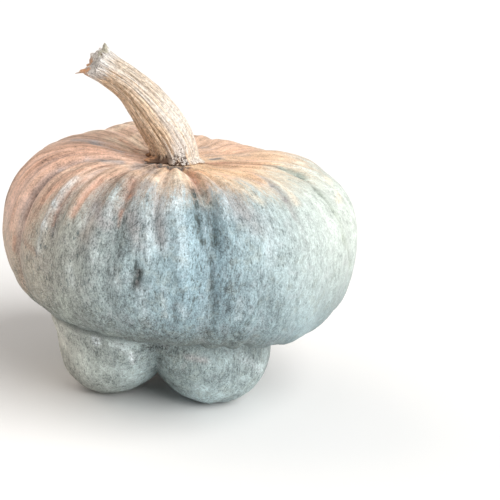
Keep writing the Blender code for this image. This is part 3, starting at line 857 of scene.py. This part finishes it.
def fruit_surface(turns, places):
    """Points of the fruit at each turn and place, and each point's azimuth and groove share."""
    azimuths, upper_depths, lower_depths = rib_rows(turns)
    azimuths = azimuths + GROOVE_WANDER * lattice_noise(turns, places, *GROOVE_WANDER_WAVES)
    change = 1.0 + GROOVE_CHANGE * lattice_noise(turns, places, *GROOVE_CHANGE_WAVES)
    weights, stretches, flares = lobe_weights(azimuths)
    radius, height = fruit_outline(weights, places).T
    outward, upward = outline_normals(weights, places)

    span = 1.0 / (len(CAP_OUTLINE) + len(LOBE_OUTLINE) - 1)
    rim = (len(CAP_OUTLINE) - 2) * span
    on_cap = 1.0 - smooth_step(rim - 0.5 * span, rim + 1.5 * span, places)
    on_turban = smooth_step(rim, rim + 2.0 * span, places)

    upper_share = smooth_step(*GROOVE_CHANGE_HEIGHTS, height)
    depth = lower_depths + upper_share * (upper_depths - lower_depths)
    depth = change * depth * smooth_step(*GROOVE_START_RADII, radius)
    # Share of the groove's depth, which the material shows as grey: partly painted shade
    groove = depth * on_cap / DEEPEST_GROOVE
    depth = (depth + dent(azimuths, height)) * on_cap - fruit_relief(azimuths, places, radius)

    on_shoulder = smooth_step(*SHOULDER_RADII, radius) * smooth_step(*SHOULDER_HEIGHTS, height)
    on_rim = smooth_step(*RIM_HEIGHTS, height) * on_cap
    rise = swell(azimuths, SHOULDER_SWELLS) * on_shoulder + swell(azimuths, RIM_SWELLS) * on_rim

    outer = np.clip((radius - LOBE_BALL_DISTANCE) / LOBE_BALL_RADIUS, 0.0, 1.0)
    stretch = stretches * outer * smooth_step(*STRETCH_HEIGHTS, height)
    flare = flares * smooth_step(*FLARE_HEIGHTS, height)

    radius = radius - outward * depth + on_turban * (stretch + flare)
    height = np.maximum(height - upward * depth + rise - LOBE_FLAT_SINK, 0.0)
    turn = np.radians(azimuths)
    across = axis_shift(places, rim, on_turban) + radius * np.sin(turn)
    points = np.column_stack((across, -radius * np.cos(turn), height))
    return points, azimuths, groove


def closed_grid(rings, segments):
    """Faces of a ball of rings between two poles; the poles are the last two points."""
    faces = []
    top = rings * segments
    last = top - segments
    for start in range(0, last, segments):
        below = start + segments
        for column in range(segments):
            beside = (column + 1) % segments
            faces.append((start + column, below + column, below + beside, start + beside))
    for column in range(segments):
        beside = (column + 1) % segments
        faces.append((top, column, beside))
        faces.append((top + 1, last + beside, last + column))
    return faces


def mesh_piece(name, points, faces, values):
    """A smooth mesh object, with values kept on its points."""
    mesh = bpy.data.meshes.new(name)
    mesh.from_pydata([tuple(point) for point in points], [], faces)
    mesh.shade_smooth()
    for label, numbers in values.items():
        kind, key = ("FLOAT", "value") if numbers.ndim == 1 else ("FLOAT_VECTOR", "vector")
        attribute = mesh.attributes.new(label, kind, "POINT")
        attribute.data.foreach_set(key, numbers.astype(np.float32).ravel())
    piece = bpy.data.objects.new(name, mesh)
    bpy.context.scene.collection.objects.link(piece)
    return piece


def rind_turns():
    """Turns of the rind's columns, closer together on the front ribs."""
    ribs = len(groove_lines())
    counts = [BACK_RIB_SEGMENTS] * ribs
    for rib, (left, right) in enumerate(zip(FRONT_GROOVES, FRONT_GROOVES[1:])):
        counts[rib] = round(FRONT_COLUMNS_PER_DEGREE * (right[0] - left[0]))
    turns = []
    for rib, count in enumerate(counts):
        turns.extend((rib + step / count) / ribs for step in range(count))
    return np.array(turns)


def rind_places():
    """Places of the rind's rings between its two poles."""
    places = []
    for start, end, count in RING_SPANS:
        places.extend(start + (end - start) * (step + 1) / count for step in range(count))
    return np.array(places[:-1])


def make_rind():
    """The whole fruit's surface, closed at the stem's seat and at the blossom scar."""
    columns = rind_turns()
    rows = rind_places()
    turns = np.append(np.tile(columns, len(rows)), (0.0, 0.0))
    places = np.append(np.repeat(rows, len(columns)), (0.0, 1.0))
    points, azimuths, groove = fruit_surface(turns, places)
    faces = closed_grid(len(rows), len(columns))
    return mesh_piece("rind", points, faces, rind_values(points, azimuths, places, groove))


def round_share(azimuths, knots):
    """A share read between knots that close round the fruit."""
    at, share = np.array(knots, dtype=float).T
    return np.interp(azimuths, at, share, period=360.0)


def strokes(azimuths, places, table):
    """A tint's share at each azimuth and place."""
    return np.clip(stroke_sum(azimuths, places, table), 0.0, 1.0)


def rind_values(points, azimuths, places, groove):
    """What the rind's material reads at each point: the grain's direction and the tints."""
    turn = np.radians(azimuths)
    across = GRAIN_RADIUS * np.sin(turn)
    grain = np.column_stack((across, -GRAIN_RADIUS * np.cos(turn), GRAIN_LENGTH * places))
    turban = smooth_step(*TURBAN_PLACES, places)
    grain = grain * (1.0 - turban[:, None]) + points * turban[:, None]
    # Painted shade on the cap's underside, under the rim's overhang
    under = smooth_step(*UNDERSIDE_PLACES, places) * (1.0 - turban)

    edge = round_share(azimuths, BLOOM_EDGE)
    width = round_share(azimuths, BLOOM_EDGE_WIDTHS)
    bloom = smooth_step(edge - width, edge + width, places)
    cream = round_share(azimuths, CREAM_ROUND)
    blue = round_share(azimuths, BLUE_ROUND)
    # Pale tint, partly painted light on the upper right
    pale = round_share(azimuths, PALE_ROUND) * (1.0 - smooth_step(*PALE_END_PLACES, places))
    beige = round_share(azimuths, BEIGE_ROUND)
    # The low tint: grey-green and painted shade low on the cap, painted shade in the turban's clefts
    on_cap = round_share(azimuths, LOW_ROUND) * smooth_step(*LOW_START_PLACES, places)
    low = on_cap * (1.0 - turban) + round_share(azimuths, CLEFT_ROUND) * turban
    calm = round_share(azimuths, CALM_ROUND) * (1.0 - turban) + TURBAN_CALM * turban

    blush = strokes(azimuths, places, BLUSH_STROKES)
    mauve = strokes(azimuths, places, MAUVE_STROKES)
    sage = strokes(azimuths, places, SAGE_STROKES)
    light = strokes(azimuths, places, LIGHT_STROKES)
    dark = strokes(azimuths, places, DARK_STROKES)
    rust_and_shadow = strokes(azimuths, places, RUST_AND_SHADOW_STROKES)
    return {
        "grain": grain,
        "skin_tints": np.column_stack((bloom, cream, blush)),
        "bloom_tints": np.column_stack((blue, pale, beige)),
        "stroke_tints": np.column_stack((mauve, sage, light)),
        "deep_tints": np.column_stack((rust_and_shadow, dark, groove)),
        "low_tints": np.column_stack((low, turban, under)),
        "wax_and_highlight": strokes(azimuths, places, WAX_AND_HIGHLIGHT_STROKES),
        "shade": stroke_sum(azimuths, places, TONE_STROKES),
        "calm": calm,
    }


def stem_frame(place):
    """Centre, right and forward vector of the stem's section at a place along it."""
    step = 0.01
    behind, here, ahead = spline(STEM_PATH, np.array((place - step, place, place + step)))
    along = (ahead - behind) / np.linalg.norm(ahead - behind)
    upright = 1.0 - smooth_step(0.0, STEM_UPRIGHT_PLACE, place)
    along = along * (1.0 - upright) + np.array((0.0, 1.0)) * upright
    along = along / np.linalg.norm(along)
    centre = np.array((here[0], 0.0, here[1]))
    right = np.array((along[1], 0.0, -along[0]))
    forward = np.array((along[0], 0.0, along[1]))
    return centre, right, forward


def angles_apart(angles, angle):
    """Signed turn in radians from one angle to each of the others."""
    return (angles - angle + math.pi) % math.tau - math.pi


def torn_edge(angle):
    """How far the torn end stands out past the stem's end, round the section."""
    edge = np.zeros_like(angle)
    for middle, half_angle, size in STEM_TEARS:
        edge = edge + size * bell(angles_apart(angle, middle), half_angle)
    for count, size, phase in STEM_JAGS:
        edge = edge + size * np.cos(count * angle + phase)
    return edge


def nub_reach(angle, place):
    """How far the nubs of the stem's foot stand out, round the section."""
    reach = np.zeros_like(angle)
    for middle, half_angle, most, half_height in STEM_NUBS:
        across = bell(angles_apart(angle, middle), half_angle)
        reach = reach + most * across * bell(place - STEM_NUB_PLACE, half_height)
    return reach


def stem_ring(place, segments):
    """The stem's ridged section at one place along it."""
    centre, right, forward = stem_frame(place)
    front = np.array((0.0, -1.0, 0.0))
    turns = np.arange(segments) / segments
    angle = math.tau * turns + math.radians(STEM_TWIST) * place
    ridge = np.abs(np.sin(np.pi * STEM_RIDGES * turns))
    radius = spline([(value,) for value in STEM_RADII], np.array([place]))[0, 0]
    along = np.full(segments, place)
    coarse = lattice_noise(turns, along, *STEM_COARSE_WAVES)
    thin = lattice_noise(turns, along, *STEM_THIN_WAVES)
    wander = STEM_WANDER * lattice_noise(turns, along, *STEM_WANDER_WAVES)
    fine = np.abs(np.sin(np.pi * (STEM_FINE_RIDGES * turns + wander)))
    radius = radius - STEM_RIDGE_DEPTH * (1.0 - ridge) - STEM_FINE_DEPTH * (1.0 - fine) ** 2
    radius = radius + STEM_FIBRE_HEIGHT * (coarse + STEM_THIN_SHARE * thin)
    radius = radius + nub_reach(angle, place)
    across = np.cos(angle)[:, None] * right + np.sin(angle)[:, None] * front
    torn = STEM_TORN_REACH * smooth_step(STEM_TORN_PLACE, 1.0, place) * torn_edge(angle)
    points = centre + radius[:, None] * across + torn[:, None] * forward
    for middle, half_angle, start, offset in STEM_SPLINTERS:
        share = bell(angles_apart(angle, middle), half_angle) * smooth_step(start, 1.0, place)
        points = points + share[:, None] * np.array(offset)
    return points, ridge


def make_stem():
    """The stem from its foot to its torn end, closed by the hollow inside that end."""
    segments = STEM_RIDGES * STEM_SEGMENTS_PER_RIDGE
    points = []
    ridges = []
    places = []
    for number in range(STEM_RINGS + 1):
        place = number / STEM_RINGS
        ring, ridge = stem_ring(place, segments)
        points.append(ring)
        ridges.append(ridge)
        places.append(place)

    turns = np.arange(segments) / segments
    _, _, forward = stem_frame(1.0)
    edge = points[-1]
    hollow = edge.mean(axis=0) - STEM_HOLLOW_DEPTH * forward
    for number in range(1, STEM_HOLLOW_RINGS):
        share = number / STEM_HOLLOW_RINGS
        rough = lattice_noise(turns, np.full(segments, share), *STEM_HOLLOW_WAVES)
        rise = STEM_HOLLOW_ROUGHNESS * rough * (1.0 - share)
        points.append(edge * (1.0 - share) + hollow * share + rise[:, None] * forward)
        ridges.append(ridge)
        places.append(1.0 + share)

    foot = (AXIS_AT_STEM, 0.0, STEM_FOOT_HEIGHT)
    around = np.column_stack((np.cos(math.tau * turns), np.sin(math.tau * turns)))
    grain = [np.column_stack((around, np.full(segments, place))) for place in places]
    values = {
        "ridge": np.concatenate(ridges + [(0.5, 0.5)]),
        "grain": np.vstack(grain + [(0.0, 0.0, 0.0), (0.0, 0.0, 2.0)]),
    }
    faces = closed_grid(len(places), segments)
    return mesh_piece("stem_cork", np.vstack(points + [foot, hollow]), faces, values)


class Shading:
    """A material's node tree, with a short call for each kind of node it uses."""

    def __init__(self, name):
        self.material = bpy.data.materials.new(name)
        self.material.use_nodes = True
        self.tree = self.material.node_tree
        self.shader = self.tree.nodes["Principled BSDF"]

    def put(self, node, values):
        """Link each named input of a node to another node's output, or set its value."""
        for name, value in values.items():
            socket = node.inputs[name]
            if isinstance(value, bpy.types.NodeSocket):
                self.tree.links.new(value, socket)
            elif socket.type == "RGBA":
                socket.default_value = (*value, 1.0)
            else:
                socket.default_value = value

    def add(self, kind, values, **settings):
        """A new node with its settings and the values of its inputs."""
        node = self.tree.nodes.new("ShaderNode" + kind)
        for name, setting in settings.items():
            setattr(node, name, setting)
        self.put(node, values)
        return node

    def value(self, name):
        """One number that the mesh keeps on its points."""
        return self.add("Attribute", {}, attribute_name=name).outputs["Fac"]

    def vector(self, name):
        """Three numbers that the mesh keeps on its points, as a vector."""
        return self.add("Attribute", {}, attribute_name=name).outputs["Vector"]

    def split(self, name):
        """Three numbers that the mesh keeps on its points, one by one."""
        outputs = self.add("SeparateXYZ", {"Vector": self.vector(name)}).outputs
        return outputs["X"], outputs["Y"], outputs["Z"]

    def position(self):
        """The point's own place in metres."""
        return self.add("TexCoord", {}).outputs["Object"]

    def noise(self, vector, settings):
        """Noise read at a vector, with its waves across and along, detail and roughness."""
        across, along, detail, roughness = settings
        waves = {0: vector, 1: (across, across, along)}
        scaled = self.add("VectorMath", waves, operation="MULTIPLY").outputs["Vector"]
        values = {"Vector": scaled, "Scale": 1.0, "Detail": detail, "Roughness": roughness}
        return self.add("TexNoise", values).outputs["Fac"]

    def math(self, operation, values, clamp=False):
        """One operation run along a row of values."""
        total = values[0]
        for value in values[1:]:
            node = self.add("Math", {0: total, 1: value}, operation=operation, use_clamp=clamp)
            total = node.outputs["Value"]
        return total

    def plus(self, *values, clamp=False):
        return self.math("ADD", values, clamp)

    def minus(self, first, second):
        return self.math("SUBTRACT", (first, second))

    def times(self, *values):
        return self.math("MULTIPLY", values)

    def larger(self, first, second):
        return self.math("MAXIMUM", (first, second))

    def apart(self, first, second):
        """How far two values are apart."""
        return self.math("ABSOLUTE", (self.minus(first, second), 0.0))

    def span(self, value, low, high, start=0.0, end=1.0):
        """A value mapped smoothly from one span to another."""
        values = {"Value": value, "From Min": low, "From Max": high, "To Min": start, "To Max": end}
        node = self.add("MapRange", values, interpolation_type="SMOOTHSTEP")
        return node.outputs["Result"]

    def swing(self, value, most, low=0.3, high=0.7):
        """A noise mapped smoothly to lie between -most and most."""
        return self.span(value, low, high, -most, most)

    def layers(self, colour, *rows):
        """A colour with others laid over it; a row is a colour and the shares that it is laid by."""
        for above, *shares in rows:
            values = {"Factor": self.times(*shares), 6: colour, 7: above}
            colour = self.add("Mix", values, data_type="RGBA").outputs[2]
        return colour

    def brighten(self, colour, factor):
        node = self.add("VectorMath", {0: colour, "Scale": factor}, operation="SCALE")
        return node.outputs["Vector"]

    def finish(self, colour, roughness, specular, bumps):
        """Wire up the shader, with its bumps as rows of (height, (distance, strength))."""
        relief = {}
        for height, (distance, strength) in bumps:
            values = {"Height": height, "Distance": distance, "Strength": strength}
            relief = {"Normal": self.add("Bump", values | relief).outputs["Normal"]}
        values = {"Base Color": colour, "Roughness": roughness, "Specular IOR Level": specular}
        self.put(self.shader, values | relief)
        return self.material


def rind_material():
    """Salmon and cream skin under a speckled grey-blue bloom, with strokes of other tints,
    some of them painted shade and painted highlights.
    """
    look = Shading("rind")
    bloom, cream, blush = look.split("skin_tints")
    blue, pale, beige = look.split("bloom_tints")
    mauve, sage, light = look.split("stroke_tints")
    rust_and_shadow, dark, groove = look.split("deep_tints")
    low, turban, under = look.split("low_tints")
    wax_and_highlight = look.value("wax_and_highlight")
    calm = look.value("calm")

    here = look.position()
    broad = look.noise(here, BROAD_NOISE)
    hues = look.noise(here, HUE_NOISE)
    speckle = look.noise(here, SPECKLE_NOISE)
    grain = look.vector("grain")
    bands = look.noise(grain, BAND_NOISE)
    mottle = look.noise(grain, MOTTLE_NOISE)
    streaks = look.noise(grain, STREAK_NOISE)
    fine = look.noise(grain, FINE_NOISE)
    dashes = look.noise(grain, DASH_NOISE)

    skin = look.layers(
        SALMON,
        (CREAM, cream),
        (MAUVE, look.span(bands, 0.5, 0.7), 0.4),
        (BLUSH, blush, look.span(streaks, 0.3, 0.6, 0.6, 1.0)),
    )
    wash = look.layers(
        GREEN_GREY,
        (SKY_BLUE, blue),
        (BEIGE, beige),
        (PALE, pale),
        (LOBE_PALE, turban, 0.5),
        (LOW_GREEN, low),
        (MAUVE, look.span(hues, 0.50, 0.70), 0.15),
        (GREEN_GREY, look.span(hues, 0.50, 0.32), 0.35),
    )

    # The bloom covers the skin, raggedly along its edge and thinly over the blush
    unsure = look.times(bloom, look.minus(1.0, bloom), 4.0)
    shift = look.plus(look.swing(streaks, 0.18), look.swing(bands, 0.22), look.swing(fine, 0.2))
    bared = look.minus(bloom, look.times(blush, 0.75))
    covered = look.plus(bared, look.times(shift, unsure), clamp=True)
    ragged = look.span(mottle, 0.3, 0.6, 0.7, 1.0)
    colour = look.layers(
        skin,
        (wash, covered),
        # Cream strokes, partly painted highlights
        (WAX_AND_HIGHLIGHT, wax_and_highlight, look.span(streaks, 0.3, 0.6, 0.5, 0.9)),
        # Mauve-grey strokes, partly painted shade in valleys and a dimple
        (MAUVE_GREY, mauve, ragged),
        (SAGE, sage, ragged),
        # Grey in the grooves: partly their own grey-purple bands, partly painted shade
        (GROOVE_GREY, look.span(groove, 0.2, 0.9), look.span(covered, 0.0, 1.0, 0.45, 0.12)),
        # Rust-coloured strokes; the ring round the stem's foot is partly painted shadow
        (RUST_AND_SHADOW, rust_and_shadow, ragged),
        # Pale strokes, partly painted highlights
        (GLINT, light, look.span(streaks, 0.35, 0.62, 0.45, 0.9)),
        # Dark strokes, partly painted shade in grooves, the dent and round the stem's foot
        (FLECK_AND_SHADE, dark, look.span(dashes, 0.38, 0.58, 0.35, 1.0)),
    )

    # Light and dark marks of every size, weaker where the rind is calm
    tones = ((streaks, 0.18), (fine, 0.28), (broad, 0.14), (mottle, 0.26), (speckle, 0.22))
    tone = look.plus(*(look.swing(noise, most, 0.25, 0.75) for noise, most in tones))
    livelier = look.minus(look.plus(0.34, look.times(low, 0.6)), calm)
    tone = look.times(tone, look.plus(0.74, look.times(covered, livelier)))
    streaked = look.larger(look.minus(1.1, covered), look.times(pale, 0.6))
    streaked = look.times(streaked, look.span(calm, 0.0, 0.6, 1.0, 0.6))
    tone = look.plus(tone, look.times(look.swing(bands, 0.36, 0.25, 0.75), streaked))
    tone = look.plus(tone, look.times(look.swing(broad, 0.22), turban))
    # The tone strokes, partly painted light and painted shade
    colour = look.brighten(colour, look.plus(tone, look.plus(1.0, look.value("shade"))))
    flecks = look.times(look.span(dashes, 0.60, 0.68, 0.0, 0.8), look.span(calm, 0.0, 0.6, 1.0, 0.4))
    # Dark flecks where the bloom covers, and painted shade on the cap's underside
    colour = look.layers(colour, (FLECK_AND_SHADE, flecks, covered), (FLECK_AND_SHADE, under, 0.6))

    roughness = look.span(speckle, 0.3, 0.7, *RIND_ROUGHNESS)
    bumps = ((mottle, MOTTLE_BUMP), (fine, FINE_BUMP))
    return look.finish(colour, roughness, RIND_SPECULAR, bumps)


def stem_material():
    """Dry cork: tan on the left, nearly white on the right, with brown lines and cracks.
    The paler right and the pale strip up it are painted light in part.
    """
    look = Shading("stem_cork")
    ridge = look.value("ridge")
    # From -1 at the left to 1 at the right, 1 at the front, and the place, over 1 in the hollow
    around, outward, along = look.split("grain")
    grain = look.vector("grain")
    strands = look.noise(grain, STRAND_NOISE)
    fibres = look.noise(grain, FIBRE_NOISE)
    threads = look.noise(grain, THREAD_NOISE)
    cracks = look.noise(grain, CRACK_NOISE)
    crackle = look.noise(look.position(), CRACKLE_NOISE)

    # From tan on the left to cream on the right: partly the cork's own colour, partly painted light
    side = look.span(look.plus(around, look.swing(strands, 0.35)), -0.10, 1.0)
    broad_lines = look.span(look.apart(fibres, 0.5), 0.0, 0.060, 1.0, 0.0)
    thin_lines = look.span(look.apart(threads, 0.5), 0.0, 0.045, 0.9, 0.0)
    lines = look.times(look.larger(broad_lines, thin_lines), look.span(strands, 0.3, 0.6, 0.55, 1.0))
    colour = look.layers(
        STEM_TAN,
        (STEM_CREAM, side),
        (STEM_WHITE, look.span(threads, 0.5, 0.68, 0.0, 0.55)),
        (STEM_BROWN, look.span(ridge, 0.0, 0.35, 0.35, 0.0)),
        (STEM_BROWN, lines, look.span(side, 0.0, 1.0, 0.80, 0.72)),
        (STEM_DARK, look.span(cracks, 0.57, 0.63, 0.0, 0.85)),
    )

    # A painted highlight as a pale strip up the right of the front, and a pale, cracked patch low in
    # the middle
    not_right = look.span(around, 0.72, 0.88, 1.0, 0.0)
    inner = look.larger(not_right, look.span(along, 0.40, 0.62, 1.0, 0.0))
    lit = look.times(look.span(around, 0.30, 0.50), inner, look.span(strands, 0.35, 0.55))
    middle = look.times(look.span(around, -0.25, 0.05), look.span(around, 0.55, 0.8, 1.0, 0.0))
    low = look.span(along, 0.10, 0.34, 1.0, 0.0)
    patch = look.times(low, middle, look.span(strands, 0.35, 0.5))
    colour = look.layers(
        colour,
        (STEM_WHITE, lit, 0.45),
        (STEM_WHITE, patch, 0.7),
        (STEM_DARK, patch, look.span(crackle, 0.52, 0.62)),
    )

    # The pale tip, its orange face at the left, and its tuft at the right with a dark root
    tip = look.span(look.plus(along, look.swing(fibres, 0.06)), 0.86, 0.97)
    face = look.times(look.span(around, -0.35, -0.75), look.span(along, 0.97, 1.0))
    face = look.times(face, look.span(along, 1.35, 1.6, 1.0, 0.0))
    tuft = look.times(look.span(around, 0.75, 0.95), look.span(along, 0.965, 0.985))
    root = look.times(look.span(outward, 0.12, 0.24), look.span(along, 0.955, 0.970))
    root = look.times(root, look.span(along, 0.985, 1.0, 1.0, 0.0), look.span(around, 0.80, 0.90))
    colour = look.layers(
        colour,
        (STEM_WHITE, tip, 0.8),
        (STEM_GREY, tip, look.span(crackle, 0.55, 0.62, 0.0, 0.75)),
        (STEM_DARK, tip, look.span(cracks, 0.52, 0.58, 0.0, 0.8)),
        (STEM_ORANGE, face, look.span(crackle, 0.35, 0.5, 0.5, 0.95)),
        (STEM_OLIVE, tuft, 0.9),
        (STEM_DARK, root, look.span(crackle, 0.4, 0.55)),
    )

    # The dark, mottled foot, with one orange nub at the left. The dark is partly the foot's own
    # dry cork, partly painted shadow where the foot meets the rind, and fainter on the right
    height = look.plus(along, look.swing(fibres, 0.04))
    foot = look.times(look.span(height, 0.06, 0.16, 1.0, 0.0), look.span(around, 0.50, 0.75, 1.0, 0.15))
    on_left = look.span(around, -0.30, 0.20, 1.0, 0.0)
    mottled = look.larger(look.span(crackle, 0.44, 0.54, 1.0, 0.1), on_left)
    nub = look.times(look.span(around, -0.58, -0.72), look.span(outward, -0.2, 0.2))
    orange_nub = (STEM_ORANGE, nub, look.span(crackle, 0.44, 0.58, 0.8, 0.1))
    colour = look.layers(colour, (look.layers(STEM_DARK, orange_nub), foot, mottled))
    colour = look.brighten(colour, look.span(crackle, 0.25, 0.75, 0.72, 1.28))

    roughness = look.span(threads, 0.3, 0.7, *STEM_ROUGHNESS)
    bumps = ((fibres, FIBRE_BUMP), (threads, THREAD_BUMP))
    return look.finish(colour, roughness, STEM_SPECULAR, bumps)


def floor_material():
    look = Shading("floor")
    look.put(look.shader, {"Base Color": FLOOR_GREY, "Roughness": FLOOR_ROUGHNESS})
    return look.material


def make_camera():
    """The photo's camera, leaning a little to one side."""
    elevation = math.radians(VIEW_ELEVATION)
    back = Vector((0.0, -math.cos(elevation), math.sin(elevation)))
    place = Vector(VIEW_CENTRE) + VIEW_DISTANCE * back
    forward = (Vector(VIEW_AIM) - place).normalized()
    right = forward.cross(Vector((0.0, 0.0, 1.0))).normalized()
    up = right.cross(forward)
    roll = math.radians(VIEW_ROLL)
    leaned_right = right * math.cos(roll) + up * math.sin(roll)
    leaned_up = up * math.cos(roll) - right * math.sin(roll)
    turned = Matrix((leaned_right, leaned_up, -forward)).transposed().to_4x4()
    data = bpy.data.cameras.new("camera")
    data.sensor_width = SENSOR_WIDTH
    data.lens = LENS
    data.clip_start = CLIP_START
    data.clip_end = CLIP_END
    camera = bpy.data.objects.new("camera", data)
    camera.matrix_world = Matrix.Translation(place) @ turned
    bpy.context.scene.collection.objects.link(camera)
    bpy.context.scene.camera = camera


def sun(name, azimuth, elevation, strength, angle, colour):
    """A soft light from far away, from an azimuth and an elevation."""
    data = bpy.data.lights.new(name, "SUN")
    data.energy = strength
    data.angle = math.radians(angle)
    data.color = colour
    light = bpy.data.objects.new(name, data)
    turn = math.radians(azimuth)
    rise = math.radians(elevation)
    back = Vector((math.sin(turn) * math.cos(rise), -math.cos(turn) * math.cos(rise), math.sin(rise)))
    light.rotation_euler = back.to_track_quat("Z", "Y").to_euler()
    bpy.context.scene.collection.objects.link(light)


def make_light():
    """An even white surround and the suns."""
    world = bpy.data.worlds.new("studio")
    world.use_nodes = True
    background = world.node_tree.nodes["Background"]
    background.inputs["Color"].default_value = (1.0, 1.0, 1.0, 1.0)
    background.inputs["Strength"].default_value = SURROUND_STRENGTH
    bpy.context.scene.world = world
    for settings in SUNS:
        sun(*settings)


def make_floor():
    """A pale, wide floor just under the squash."""
    half = FLOOR_HALF_SIZE
    mesh = bpy.data.meshes.new("floor")
    corners = [(-half, -half, 0.0), (half, -half, 0.0), (half, half, 0.0), (-half, half, 0.0)]
    mesh.from_pydata(corners, [], [(0, 1, 2, 3)])
    mesh.materials.append(floor_material())
    floor = bpy.data.objects.new("floor", mesh)
    floor.location.z = -FLOOR_DROP
    bpy.context.scene.collection.objects.link(floor)


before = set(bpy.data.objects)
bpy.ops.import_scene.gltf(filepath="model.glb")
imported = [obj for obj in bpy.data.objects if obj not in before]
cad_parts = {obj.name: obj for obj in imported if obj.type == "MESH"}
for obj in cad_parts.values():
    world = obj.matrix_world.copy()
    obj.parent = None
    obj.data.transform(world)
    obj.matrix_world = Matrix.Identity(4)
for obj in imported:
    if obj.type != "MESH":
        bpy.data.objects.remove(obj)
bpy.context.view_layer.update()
bpy.context.scene.view_settings.view_transform = "Standard"
make_camera()
make_light()
make_floor()
rind = make_rind()
rind.data.materials.append(rind_material())
stem = make_stem()
stem.data.materials.append(stem_material())
for piece, node, slot in ((rind, "fruit", "rind"), (stem, "stem", "stem_cork")):
    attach(piece, "root")
    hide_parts(node)
